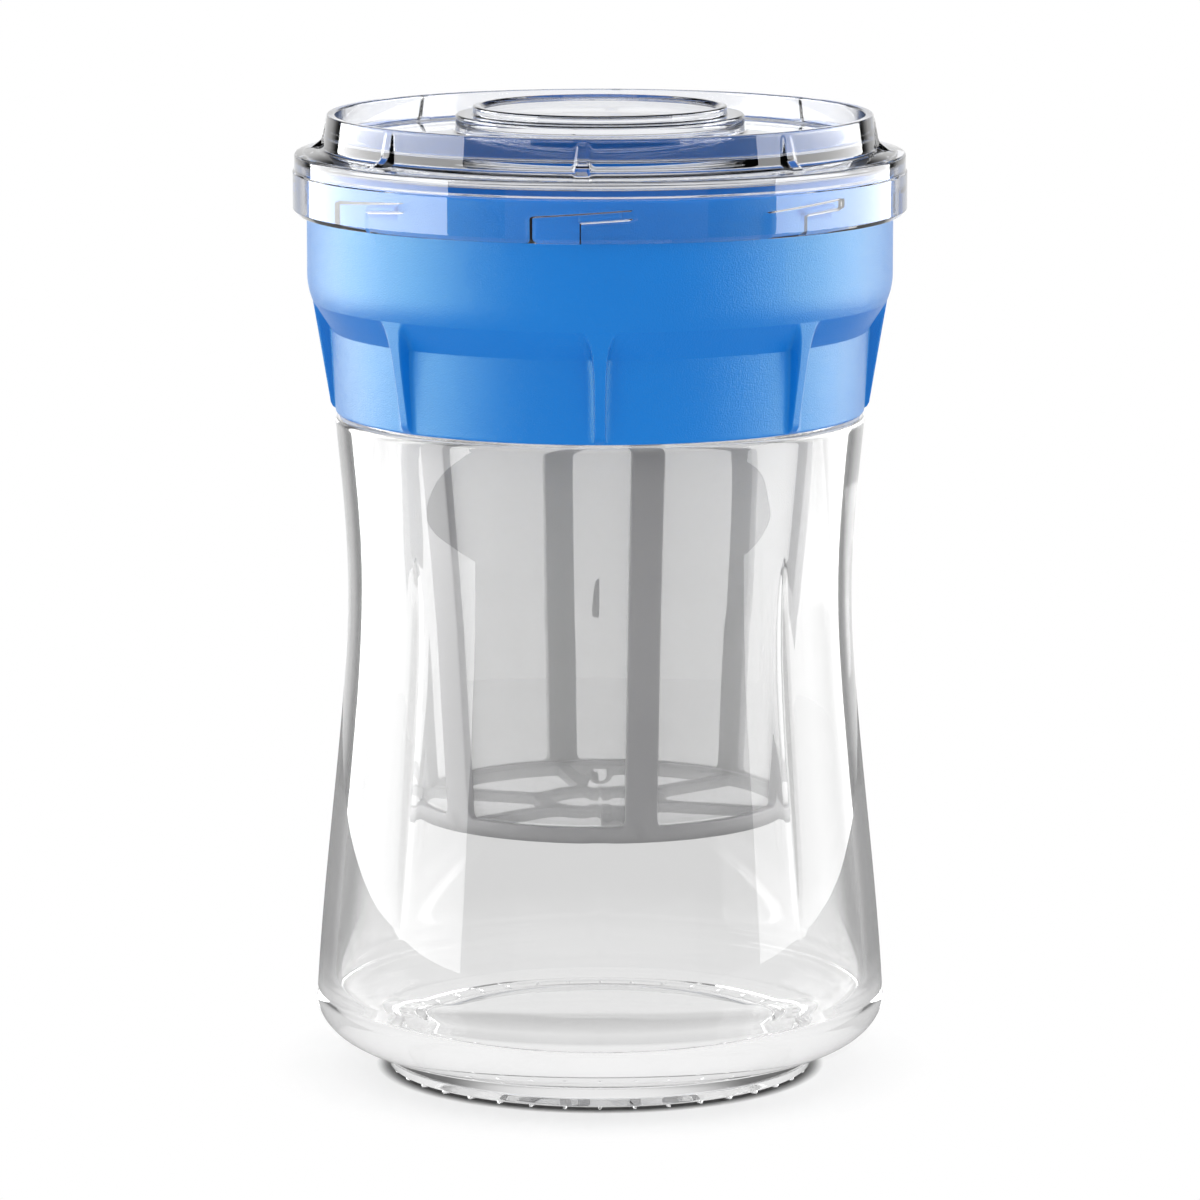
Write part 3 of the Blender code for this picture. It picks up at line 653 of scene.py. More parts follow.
@dataclass
class Jar:
    """The waisted glass jar: flutes, twist-off lugs, foot ring with stipples.

    The pulls say how far a curve's handles reach from its ends.
    """

    neck_radius: float = 44.2
    neck_wall: float = 3.0
    rim_height: float = 134.3
    shoulder_height: float = 119.9
    shoulder_step: float = 3.6
    shoulder_round: float = 1.1
    shoulder_lip: float = 0.35
    shoulder_pull: tuple[float, float] = (0.8, 8.2)
    waist_pulls: tuple[float, float] = (10.2, 19.7)
    heel_pull: tuple[float, float] = (1.5, 25.6)
    neck_drop: float = 3.6
    waist_radius: float = 45.6
    waist_height: float = 88.0
    body_radius: float = 51.5
    heel_height: float = 14.3
    crease_height: float = 0.7
    crease_depth: float = 0.3
    wall: float = 3.0
    base: float = 8.4
    inner_heel: float = 9.0
    foot_radius: float = 37.2
    foot_width: float = 2.6
    push_up: float = 2.4
    heel_edge: tuple[float, float] = (41.6, 4.6)
    heel_bulge: float = 0.15
    heel_steer: tuple[float, float] = (8.9, 5.6)
    heel_draw: float = 4.3
    foot_wall: float = 2.2
    flute_circle: float = 47.0
    flute_width: float = 4.4
    flute_point: float = 0.4
    flute_depth: float = 0.5
    flute_swell: float = 0.4
    flute_fade: float = 0.45
    flute_bottom: float = 32.0
    flute_top: float = 97.5
    flute_ramp: float = 2.4
    blank_bottom: float = 60.9
    blank_top: float = 91.3
    lug_reach: float = 1.4
    lug_height: float = 1.8
    lug_drop: float = 6.0
    lug_arc: float = math.radians(34.0)
    stipples: int = 38
    stipple_height: float = 0.5
    stipple_width: float = 0.62
    stipple_length: float = 2.2

    def side(self, inset: float = 0.0) -> Array:
        """The side from the shoulder over the waist to the heel: two cubic curves that meet upright.

        Args:
            inset: how far to stay inside of the outer face.

        Returns:
            (radius, height) rows.
        """
        top = np.array([self.neck_radius + self.shoulder_step - self.shoulder_lip - inset,
                        self.shoulder_height - self.neck_drop])
        waist = np.array([self.waist_radius - inset, self.waist_height])
        heel = np.array([self.body_radius - inset, self.heel_height + self.crease_height])
        up, down = np.array([(0.0, self.waist_pulls[0]), (0.0, -self.waist_pulls[1])])
        upper = bezier([top, top - self.shoulder_pull, waist + up, waist], 22)
        lower = bezier([waist, waist + down, heel + (-self.heel_pull[0], self.heel_pull[1]), heel], 46)
        return np.concatenate([upper, lower[1:]])

    def section(self) -> Array:
        """Half section from the middle of the floor over the rim and down to the middle of the foot.

        Returns:
            (radius, height) rows.
        """
        bore = self.neck_radius - self.neck_wall
        floor_edge = self.body_radius - self.wall - self.inner_heel
        inner = self.side(self.wall)[::-1]
        inner = inner[(inner[:, 1] > self.base + self.inner_heel + 0.5) & (inner[:, 1] < self.waist_height)]
        corner = bezier([
            (floor_edge, self.base), (floor_edge + 0.56 * self.inner_heel, self.base),
            (inner[0, 0], self.base + 0.44 * self.inner_heel), inner[0],
        ], 10)[:-1]
        floor = refined(np.array([(0.0, self.base + 0.4), (floor_edge, self.base)]), 5.0)[:-1]
        waist = (self.waist_radius - self.wall, self.waist_height)
        shoulder = self.shoulder_height
        neck = rounded([
            (*waist, 0.0), (bore, shoulder - self.neck_drop, 6.0), (bore, self.rim_height, 0.8),
            (self.neck_radius, self.rim_height, 0.8), (self.neck_radius, shoulder, 0.6),
            (self.neck_radius + self.shoulder_step, shoulder, self.shoulder_round),
            (*self.side()[0], 0.0),
        ], 6)
        outer = refined(self.side(), 1.75)[1:]
        low, high, ramp = self.blank_bottom, self.blank_top, self.flute_ramp
        cuts = np.array([low, low + ramp, high - ramp, high])
        cuts = np.column_stack([np.interp(cuts, outer[::-1, 1], outer[::-1, 0]), cuts])
        outer = np.concatenate([outer, cuts])
        outer = outer[np.argsort(-outer[:, 1])]
        edge = self.body_radius - self.crease_depth
        heel = np.concatenate([
            [(edge, self.heel_height)],
            bezier([(self.body_radius + self.heel_bulge, self.heel_height - 2 * self.crease_height),
                    (self.body_radius - self.heel_bulge, self.heel_steer[0]),
                    (self.body_radius - self.heel_draw, self.heel_steer[1]), self.heel_edge], 16),
        ])
        inside = self.foot_radius - self.foot_width
        foot = rounded([
            (*heel[-2], 0.0), (*self.heel_edge, 0.3), (self.foot_radius + 1.7, self.foot_wall, 0.5),
            (self.foot_radius + 1.3, self.stipple_height, 0.4), (inside, self.stipple_height, 0.5),
            (inside - self.push_up, self.push_up - 0.4, 1.0), (0.0, self.push_up, 0.0),
        ], 4)[1:]
        parts = [floor, corner, inner, refined(neck, 1.5), outer, heel[:-1], refined(foot, 4.0)]
        return np.concatenate(parts)

    def stipple_shell(self) -> tuple[Array, Array]:
        """The stipples under the foot: small pads with rounded lower edges, evenly spread.

        Each pad is a rounded oblong carried down from inside the foot ring to the table, where it
        draws in to seven tenths of its width; a first and a last row in its middle close it.

        Returns:
            The points of all pads and their faces.
        """
        turn = np.linspace(0.0, math.tau, 12, endpoint=False)
        across, along = (np.sign(wave) * np.abs(wave) ** 0.5 for wave in (np.sin(turn), np.cos(turn)))
        scale = np.array([0.0, 1.0, 1.0, 0.9, 0.7, 0.0])[:, None]
        level = np.array([1.4, 1.4, 0.35, 0.1, 0.0, 0.0])[:, None] * self.stipple_height
        middle = self.foot_radius
        start = np.arange(self.stipples)[:, None, None] * (math.tau / self.stipples)
        points = polar(
            middle + 0.5 * self.stipple_length * along * scale,
            start + 0.5 * self.stipple_width / middle * across * scale, level,
        )
        quads = grid_faces(*points.shape[1:3], ring=False)
        shift = np.arange(self.stipples)[:, None, None] * (points.shape[1] * points.shape[2])
        return points, (quads[None] + shift).reshape(-1, 4)

    def build(self) -> bpy.types.Object:
        """Carries the section round, presses the flutes and lugs into it and adds the stipples.

        A flute is a V whose depth falls evenly from its middle to its border; depth and width both
        follow sin(pi * share of its height) to a small power, so it ends in points.

        Returns:
            The finished jar.
        """
        line = self.section()
        radius, height = line[:, :1], line[:, 1:]
        side = self.side()[::-1]
        skin_radius = np.interp(height, side[:, 1], side[:, 0])
        on_side = np.abs(radius - skin_radius) < 0.5 * self.wall
        share = (height - self.flute_bottom) / (self.flute_top - self.flute_bottom)
        bow = np.sin(math.pi * np.clip(share, 0.0, 1.0))
        swell, sink = (np.where(on_side, bow ** power, 0.0) for power in (self.flute_swell, self.flute_fade))
        half = self.flute_point + (0.5 * self.flute_width - self.flute_point) * swell
        half = half / self.flute_circle
        keys = key_angles(len(line), -PITCH / 2, -half, 0.0, half, PITCH / 2)
        angle, offset = around(spread(keys, (14, 6, 6, 14)))
        across = np.clip(np.abs(offset) / half, 0.0, 1.0)
        front = np.abs((angle + PITCH / 2) % math.tau) < PITCH
        blank = plateau(self.blank_bottom, self.blank_top, self.flute_ramp, height)
        pressed = self.flute_depth * sink * (1.0 - across) ** 1.2 * (1.0 - front * blank)
        lug = twist_lugs(angle, height, self.rim_height - self.lug_drop, self.lug_height, self.lug_arc)
        lug = lug * (np.abs(radius - self.neck_radius) < 0.3)
        points = polar(radius - pressed + self.lug_reach * lug, angle, height)
        return skin("jar_glass", [shell(points), self.stipple_shell()])

    def dress(self, piece: bpy.types.Object, finish: ClearFinish) -> None:
        """Gives the jar its glass."""
        settle(piece, finish.make(), Body.JAR, "glass_jar")


@dataclass
class RingSeal:
    """A flat silicone ring with softly rounded edges."""

    name: str
    node: str
    body: Body
    inner: float
    outer: float
    seat: float
    thickness: float = 1.7
    edge: float = 0.35

    def build(self) -> bpy.types.Object:
        """Carries a rounded oblong round the axis.

        Returns:
            The finished ring.
        """
        top = self.seat + self.thickness
        corners = ((self.outer, self.seat), (self.outer, top), (self.inner, top), (self.inner, self.seat))
        line = rounded([(*corner, self.edge) for corner in corners], 4, ring=True)
        line = refined(line, 1.2, ring=True)
        return skin(self.name, [shell(polar(line[:, :1], circle(240), line[:, 1:]), ring=True)])

    def dress(self, piece: bpy.types.Object, material: bpy.types.Material) -> None:
        """Gives the ring its silicone."""
        settle(piece, material, self.body, self.node)


# The blue collar


@dataclass
class Collar:
    """The blue collar: drum, sloping shoulder, panels between eight flared ribs, both sets of lugs.

    lug_crest and lug_root say, in radians, where a lug's flat and its foot end beyond half its arc.
    """

    foot: float = 120.5
    top: float = 163.6
    ledge_bottom: float = 136.6
    ledge_top: float = 138.6
    bore: float = 46.0
    ledge_bore: float = 40.9
    panel_foot: float = 47.6
    panel_top: float = 48.3
    drum_radius: float = 52.6
    hopper_radius: float = 50.8
    flange_bore: float = 48.6
    hopper_slope: float = 3.4
    slope_foot: float = 135.5
    slope_top: float = 140.7
    drum_round: float = 5.0
    drum_draw: float = 0.95
    rib_crest: float = 1.8
    rib_flare: float = 3.0
    rib_flank: float = 0.25
    rib_spread: float = 0.6
    rib_power: float = 6.0
    rib_foot: float = 0.7
    rib_circle: float = 50.0
    rib_blend: float = 6.0
    lug_arc: float = math.radians(8.3)
    lug_height: float = 0.85
    lug_drop: float = 3.0
    lug_reach: float = 1.0
    lug_slope: float = 0.072
    lug_blend: float = 2.5
    lug_crest: float = -0.003
    lug_root: float = 0.001
    twist_arc: float = math.radians(28.0)
    twist_reach: float = 1.4
    twist_top: float = 126.2
    twist_height: float = 1.8

    def section(self) -> tuple[Array, int]:
        """Half section: down the outside, up the inside.

        Returns:
            The closed line and the number of its points that lie on the outside.
        """
        drum = self.slope_top + self.drum_round
        edge = (self.drum_radius - self.drum_draw, self.slope_top)
        curl = bezier([
            (self.drum_radius, drum), (self.drum_radius, self.slope_top + 0.5 * self.drum_round),
            (edge[0] + 0.4, self.slope_top + 0.22 * self.drum_round), edge,
        ], 12)
        lug = self.top - self.lug_drop
        half = 0.5 * self.lug_height
        levels = (self.top - 1.0, lug + half + 0.08, lug + half - 0.08, lug, lug - half + 0.08,
                  lug - half - 0.08, drum)
        upper = np.array([(self.drum_radius, level) for level in levels])
        slope = rounded([
            (*curl[-2], 0.0), (*edge, 0.3), (self.panel_top, self.slope_foot, 0.4),
            (self.panel_foot, self.foot, 0.4), (self.panel_foot - 0.8, self.foot, 0.0),
        ], 4)
        outside = np.concatenate([refined(upper, 1.6)[:-1], curl[:-2], refined(slope, 0.8)])
        inside = rounded([
            (self.panel_foot - 0.8, self.foot, 0.0), (self.bore, self.foot, 0.2),
            (self.bore, self.ledge_bottom, 0.3), (self.ledge_bore, self.ledge_bottom, 0.2),
            (self.ledge_bore, self.ledge_top, 0.3), (self.flange_bore, self.ledge_top, 0.3),
            (self.hopper_radius, self.ledge_top + self.hopper_slope, 0.8),
            (self.hopper_radius, self.top, 0.3), (self.drum_radius, self.top, 0.4),
            (self.drum_radius, self.top - 1.0, 0.0),
        ], 4)[1:-1]
        return np.concatenate([outside, refined(inside, 0.9)]), len(outside)

    def build(self) -> bpy.types.Object:
        """Carries the section round, raises the ribs and both sets of lugs.

        A rib's crest is a straight line from foot to drum with flat flanks down to the wall, and it
        widens with a high power of its height, so it flares just below the drum.

        Returns:
            The finished collar.
        """
        line, outside = self.section()
        radius, height = line[:, :1], line[:, 1:]
        outer = (np.arange(len(line)) < outside)[:, None]
        share = np.clip((height - self.foot) / (self.slope_top - self.foot), 0.0, 1.0)
        crest = self.panel_foot + self.rib_foot
        crest = crest + share * (self.drum_radius - self.drum_draw - crest)
        flare = share ** self.rib_power
        half = 0.5 * (self.rib_crest + self.rib_flare * flare) / self.rib_circle
        root = half + (self.rib_flank + self.rib_spread * flare) / self.rib_circle
        over = smoothstep(self.slope_top, self.slope_top + self.rib_blend, height)
        half = half * (1 - over) + (self.lug_arc / 2 + self.lug_crest) * over
        root = root * (1 - over) + (self.lug_arc / 2 + self.lug_root) * over
        keys = key_angles(len(line), -PITCH / 2, -root, -half, 0.0, half, root, PITCH / 2)
        angle, offset = around(spread(keys, (12, 5, 5, 5, 5, 12)))
        away = np.abs(offset)
        across = np.clip((root - away) / (root - half), 0.0, 1.0)
        rib = np.maximum(crest - radius, 0.0) * across * smoothstep(self.foot + 0.2, self.foot + 0.9, height)
        rib = np.where(outer & (height < self.slope_top), rib, 0.0)
        from_middle = np.abs(height - (self.top - self.lug_drop))
        level = np.clip(1.0 - from_middle / self.lug_blend, 0.0, 1.0)
        level = np.where(outer & (height > self.slope_top + 4.0), level, 0.0)
        fade = np.clip((PITCH / 2 - away) / (PITCH / 2 - root), 0.0, 1.0) * np.minimum(1.0, 2 * level)
        climb = self.lug_slope * self.drum_radius * np.clip(offset, -root, root) * fade
        tall = from_middle < 0.5 * self.lug_height - 0.02
        lug = self.lug_reach * (outer & tall) * (away <= half + SLACK)
        screw = twist_lugs(angle, height, self.twist_top, self.twist_height, self.twist_arc)
        screw = self.twist_reach * np.where(outer | (np.abs(radius - self.bore) > 0.2), 0.0, screw)
        points = polar(radius + rib + lug - screw, angle, height + climb)
        return skin("collar_blue", [shell(points, ring=True)])

    def dress(self, piece: bpy.types.Object, finish: MouldedFinish) -> None:
        """Gives the collar its blue plastic."""
        settle(piece, finish.make(), Body.COLLAR, "collar")


# The strainer


def pierced(
    outline: Array, border: Array, wall: float, place: Place, count: int, start: float,
) -> tuple[Array, Array]:
    """A wall with one opening in each of a ring of equal cells.

    Each cell is a band of quads that runs from its border over the outer face to the opening's
    outline, through the wall, and back over the inner face; the bands share their borders.

    Args:
        outline: (points, 2) angle and distance along the wall, round one opening.
        border: the matching points of the cell's border.
        wall: the wall's thickness.
        place: turns angle, distance and depth into x, y and z.
        count: number of cells.
        start: angle of the first cell's middle.

    Returns:
        The points of all cells and their faces, ready to be merged.
    """
    soft = 0.12 * wall
    blends = ((1.0, 0.0), (0.45, 0.0), (0.12, 0.0), (0.02, 0.25 * soft), (0.0, soft), (0.0, wall - soft),
              (0.02, wall - 0.25 * soft), (0.12, wall), (0.45, wall), (1.0, wall))
    rows = np.stack([border * share + outline * (1.0 - share) for share, _ in blends])
    depths = np.array([depth for _, depth in blends])[:, None]
    quads = grid_faces(len(blends), len(outline), ring=True)
    last = np.arange(len(quads)) >= (len(blends) - 1) * len(outline)
    distance = rows[..., 1].reshape(-1)[quads]
    ends = np.isclose(distance, border[:, 1].min()) | np.isclose(distance, border[:, 1].max())
    level = np.isclose(distance.min(axis=1), distance.max(axis=1)) & ends.all(axis=1)
    quads = quads[~last | level]
    across, along = rows[..., 0] + start, rows[..., 1]
    turns = np.arange(count) * math.tau / count
    return joined([(place(across + turn, along, depths + 0 * along), quads) for turn in turns])


def opening(low: float, high: float, corner: float, reach: Callable[[Array], Array], steps: int) -> Array:
    """Outline of an opening: straight sides along the bars, rounded corners.

    Args:
        low: where the opening begins, as a distance along the wall.
        high: where it ends.
        corner: radius of its corners.
        reach: gives the side's half length across, at a distance along the wall.
        steps: stretches along each side.

    Returns:
        (points, 2) length across and distance along, anticlockwise from the lower right corner.
    """
    straight = np.linspace(low + corner, high - corner, steps + 1)
    right = np.column_stack([reach(straight), straight])
    bend = np.linspace(0.0, math.pi / 2, 5)[1:-1]
    mirror = np.array([-1.0, 1.0])
    parts = []
    for end, way, side in ((high, 1.0, right), (low, -1.0, right[::-1] * mirror)):
        half = float(reach(np.array([end]))[0]) - corner
        rise = way * corner * np.sin(bend)
        turn = np.column_stack([half + corner * np.cos(bend), end - way * corner + rise])
        flat = np.column_stack([np.linspace(half, -half, steps + 1), np.full(steps + 1, end)])
        parts += [side, *(part * (way, 1.0) for part in (turn, flat, turn[::-1] * mirror))]
    return np.concatenate(parts)


@dataclass
class Strainer:
    """The grey basket: flange, six bars, bottom ring, spokes and hub, with its two meshes."""

    seat: float = 138.9
    radius: float = 39.7
    taper: float = 5.9
    depth: float = 91.5
    wall: float = 1.6
    flange: float = 48.0
    flange_thickness: float = 1.8
    bars: int = 6
    turn: float = math.radians(12.4)
    bar_width: float = 5.7
    band: float = 8.0
    ring: float = 2.8
    corner: float = 1.2
    spoke_width: float = 2.7
    spoke_thickness: float = 1.9
    hub_radius: float = 12.0
    hub_width: float = 2.9
    hole_corner: float = 1.4
    floor_inset: float = 0.1
    flange_overlap: float = 0.6
    wall_overlap: float = 0.2
    gap: float = 0.3
    mesh: float = 0.4
    mesh_lift: float = 0.1
    mesh_circle: float = 36.0

    def wall_radius(self, height: Array) -> Array:
        """Outer radius at a height: it falls evenly from the flange to the foot."""
        return self.radius - self.taper * (self.seat - height) / self.depth

    def frame(self) -> bpy.types.Object:
        """The frame: pierced wall, pierced floor and flange ring, each a closed shell.

        Returns:
            The finished frame.
        """
        foot = self.seat - self.depth
        cell = math.pi / self.bars
        low, high = foot + self.ring, self.seat - self.band
        outline = opening(
            low, high, self.corner, lambda z: cell * self.wall_radius(z) - 0.5 * self.bar_width, 14,
        )
        edge = outline.copy()
        outline[:, 0] /= self.wall_radius(outline[:, 1])
        half = cell * self.wall_radius(edge[:, 1])
        on_side = np.abs(edge[:, 0]) > half - 0.5 * self.bar_width - self.corner + 0.01
        border = outline.copy()
        border[on_side, 0] = np.sign(edge[on_side, 0]) * cell
        above, below = edge[:, 1] > high - self.corner + 0.01, edge[:, 1] < low + self.corner - 0.01
        border[above, 1] = self.seat + self.wall_overlap
        border[below, 1] = foot
        level = np.clip(edge[:, 0] / (half - 0.5 * self.bar_width - 0.25 * self.corner), -1.0, 1.0) * cell
        border[:, 0] = np.where(above | below, level, border[:, 0])
        walls = pierced(
            outline, border, self.wall,
            lambda a, z, t: polar(self.wall_radius(z) - t, a, z), self.bars, self.turn + cell,
        )
        inner, outer = self.hub_radius, float(self.wall_radius(np.array(foot))) - self.wall
        hole = opening(inner, outer, self.hole_corner, lambda r: cell * r - 0.5 * self.spoke_width, 10)
        rim = hole.copy()
        hole[:, 0] /= hole[:, 1]
        near = rim[:, 1] < inner + self.hole_corner - 0.01
        far = rim[:, 1] > outer - self.hole_corner + 0.01
        half = cell * rim[:, 1] - 0.5 * self.spoke_width - 0.25 * self.hole_corner
        rim[:, 0] = np.clip(rim[:, 0] / half, -1.0, 1.0) * cell
        on_spoke = ~(near | far)
        rim[on_spoke, 0] = np.sign(rim[on_spoke, 0]) * cell
        rim[near, 1] = inner - self.hub_width
        rim[far, 1] = outer + 0.5 * self.wall
        top = foot + self.spoke_thickness
        floor = pierced(
            hole, rim, self.spoke_thickness - self.floor_inset,
            lambda a, r, t: polar(r, a, top - t), self.bars, self.turn + cell,
        )
        bore = self.radius - self.wall
        collar = refined(rounded([
            (self.flange, self.seat + self.flange_thickness, 0.4), (self.flange, self.seat, 0.3),
            (self.radius, self.seat, 0.0), (self.radius, self.seat - self.flange_overlap, 0.0),
            (bore, self.seat - self.flange_overlap, 0.0), (bore, self.seat + self.flange_thickness, 0.5),
        ], 4, ring=True), 2.0, ring=True)
        ring = polar(collar[:, :1], circle(180), collar[:, 1:])
        return skin("strainer_basket", [walls, floor, shell(ring, ring=True)])

    def mesh_seat(self) -> float:
        """Height of the floor mesh's underside."""
        return self.seat - self.depth + self.spoke_thickness + self.mesh_lift + self.gap

    def wall_mesh(self) -> bpy.types.Object:
        """The side mesh: a thin cone inside the bars, with texture places along and around it.

        Returns:
            The finished mesh.
        """
        high, low = self.seat, self.mesh_seat() + self.mesh + self.gap
        outer = self.wall_radius(np.array([high, low])) - self.wall - self.gap
        line = refined(np.array([
            (outer[0], high), (outer[1], low), (outer[1] - self.mesh, low), (outer[0] - self.mesh, high),
        ]), 3.0, ring=True)
        angle, height = circle(192), line[:, 1:]
        points = polar(line[:, :1], angle, height)
        woven = line[:, :1] > self.wall_radius(height) - self.wall - self.gap - 0.5 * self.mesh
        across, along = angle * self.mesh_circle * MM * woven, height * MM * woven
        cover = np.stack(np.broadcast_arrays(across, along), axis=-1)
        return skin("strainer_side_gauze", [shell(points, ring=True)], cover)

    def floor_mesh(self) -> bpy.types.Object:
        """The floor mesh: a thin disc over the spokes.

        Returns:
            The finished mesh.
        """
        low = self.mesh_seat()
        edge = float(self.wall_radius(np.array(low))) - self.wall - self.gap
        high = low + self.mesh
        line = refined(np.array([(0.0, high), (edge, high), (edge, low), (0.0, low)]), 4.0)
        points = polar(line[:, :1], circle(144), line[:, 1:])
        cover = points[..., :2] * MM * (points[..., 2:] > low + 0.5 * self.mesh)
        return skin("strainer_floor_gauze", [shell(points)], cover)

    def dress(self, frame: bpy.types.Object, gauzes: dict[str, bpy.types.Object], grey: MouldedFinish,
              weave: GauzeFinish) -> None:
        """Gives the frame its grey plastic and both meshes their weave.

        Args:
            frame: the bar frame.
            gauzes: the meshes by the solid that each stands for.
            grey: the frame's finish.
            weave: the meshes' finish.
        """
        settle(frame, grey.make(), Body.STRAINER, "strainer_frame")
        material = weave.make()
        for node, piece in gauzes.items():
            settle(piece, material, Body.STRAINER, node)


# The clear lid


@dataclass
class Lid:
    """The clear lid: boss, open crown ring, gussets, flange and skirt with eight bayonet grooves.

    gusset_flank is the angle from a gusset's side to the plain wall beside it, and gusset_least half
    the least angle that a gusset takes up.
    """

    seat: float = 165.9
    radius: float = 55.1
    skirt_bore: float = 53.0
    skirt_depth: float = 9.6
    skirt_step: float = 0.3
    skirt_band: float = 2.5
    chamfer: float = 0.9
    plate: float = 1.6
    flange: float = 2.1
    fall: float = 1.0
    crown_foot: float = 49.7
    crown_rim: float = 48.95
    crown_height: float = 6.0
    crown_wall: float = 1.5
    floor_lift: float = 1.3
    floor_rise: float = 1.6
    boss_radius: float = 25.9
    boss_height: float = 3.0
    button_radius: float = 22.8
    button_height: float = 1.5
    button_rim: float = 1.3
    dish: float = 0.6
    gusset_turn: float = math.radians(-3.5)
    gusset_foot: float = 2.5
    gusset_tip: float = 1.4
    gusset_reach: float = 2.0
    gusset_rise: float = 1.9
    gusset_circle: float = 50.0
    lug_arc: float = math.radians(8.3)
    lug_height: float = 0.85
    lug_middle: float = 160.6
    gusset_flank: float = 0.003
    gusset_least: float = 0.01
    groove_depth: float = 0.9
    groove_edge: float = 0.3
    groove_blend: float = 1.6
    turn: float = math.radians(8.1)
    slope: float = 0.072
    play: float = 0.12
    side_play: float = math.radians(0.45)
    end_play: float = math.radians(1.65)

    def crown_lines(self) -> tuple[Array, Array]:
        """The crown's outer wall and flange.

        Returns:
            The plain line and the one over a gusset, with as many points.
        """
        top = self.flange + self.crown_height - 0.5
        out = self.crown_foot + self.gusset_reach + 0.2
        drop = self.flange - self.fall * (out - self.crown_foot) / (self.radius - 0.3 - self.crown_foot)
        plain = refined(rounded([
            (self.crown_rim + 0.02, top, 0.0), (self.crown_foot, self.flange, 0.7), (out, drop, 0.0),
        ], 6), 0.5)
        shin = (self.crown_foot + 0.12, self.flange + self.gusset_rise)
        fin = np.concatenate([
            [(self.crown_rim + 0.02, top), (self.crown_rim + 0.14, top - 0.1)],
            bezier([shin, (shin[0], self.flange + 0.5 * self.gusset_rise),
                    (self.crown_foot + 0.55 * self.gusset_reach, self.flange + 0.25 * self.gusset_rise),
                    (out, drop)], 12),
        ])
        return self.even(plain, 26), self.even(fin, 26)

    @staticmethod
    def even(line: Array, count: int) -> Array:
        """Reads a line again at even steps of its length.

        Args:
            line: (radius, height) rows.
            count: number of points to read.

        Returns:
            The points, first and last included.
        """
        lengths = np.concatenate([[0.0], np.cumsum(np.linalg.norm(np.diff(line, axis=0), axis=1))])
        at = np.linspace(0.0, lengths[-1], count)
        return np.column_stack([np.interp(at, lengths, line[:, 0]), np.interp(at, lengths, line[:, 1])])

    def sections(self) -> tuple[Array, Array, Array, Array]:
        """Half section, with heights above the lid's underside.

        Returns:
            The plain line, the line over a gusset, and two columns that are 1 in the crown's rows
            and in those of the skirt's bore.
        """
        floor_low = self.flange + self.floor_lift
        floor_high = floor_low + self.floor_rise
        boss = floor_high + self.boss_height
        button = boss + self.button_height
        dish = self.button_radius - self.button_rim
        bore = self.crown_rim - self.crown_wall
        rim = self.flange + self.crown_height
        plain, fin = self.crown_lines()
        over = rounded([
            (0.0, button - self.dish, 0.0), (dish - self.dish, button - self.dish, 0.5),
            (dish, button, 0.3), (self.button_radius, button, 0.35), (self.button_radius, boss, 0.3),
            (self.boss_radius, boss, 0.4), (self.boss_radius, floor_high, 0.4),
            (bore, floor_low, 0.9), (bore, rim, 0.35), (self.crown_rim, rim, 0.35), (*plain[0], 0.0),
        ], 4)
        over = refined(over, 2.5)[:-1]
        edge = self.flange - self.fall
        band = self.radius - self.skirt_step
        step = edge - self.skirt_band - 0.5
        skirt = refined(rounded([
            (*plain[-1], 0.0), (band, edge, 0.5), (band, step, 0.12), (self.radius, step - 0.2, 0.12),
            (self.radius, self.chamfer - self.skirt_depth, 0.2),
            (self.radius - self.chamfer, -self.skirt_depth, 0.15),
            (self.skirt_bore + 0.1, -self.skirt_depth, 0.0),
        ], 3), 1.2)[1:]
        low, high = self.groove_levels()
        levels = np.concatenate([
            np.linspace(-self.skirt_depth + 0.1, low - 0.5, 4), [low - 0.06, low + 0.06],
            np.linspace(low, high, 5)[1:-1], [high - 0.06, high + 0.06],
            np.linspace(high + 0.5, -0.6, 4),
        ])
        inner = np.column_stack([np.full_like(levels, self.skirt_bore), levels])
        hollow = self.boss_radius - self.plate
        under = refined(rounded([
            (self.skirt_bore, -0.6, 0.0), (self.skirt_bore, 0.0, 0.3), (self.crown_foot - 1.8, 0.0, 0.3),
            (bore - 1.0, floor_low - self.plate, 0.5), (hollow, floor_high - self.plate, 0.5),
            (hollow - 0.3, boss - self.plate, 0.5), (0.0, boss - self.plate, 0.0),
        ], 4), 3.0)[1:]
        counts = [len(over), len(plain), len(skirt) - 1, len(inner) + 1, len(under)]
        on_crown, in_bore = (np.repeat(np.eye(5)[part], counts)[:, None] for part in (1, 3))
        tail = [skirt, inner, under]
        return np.concatenate([over, plain, *tail]), np.concatenate([over, fin, *tail]), on_crown, in_bore

    def groove_levels(self) -> tuple[float, float]:
        """Where a groove passes the middle of its lug.

        Returns:
            Its lower and its upper edge, above the lid's underside.
        """
        middle = self.lug_middle - self.seat
        travel = self.slope * self.turn * (self.skirt_bore + self.groove_depth)
        half = 0.5 * self.lug_height + self.play
        return middle - half, middle + half + travel

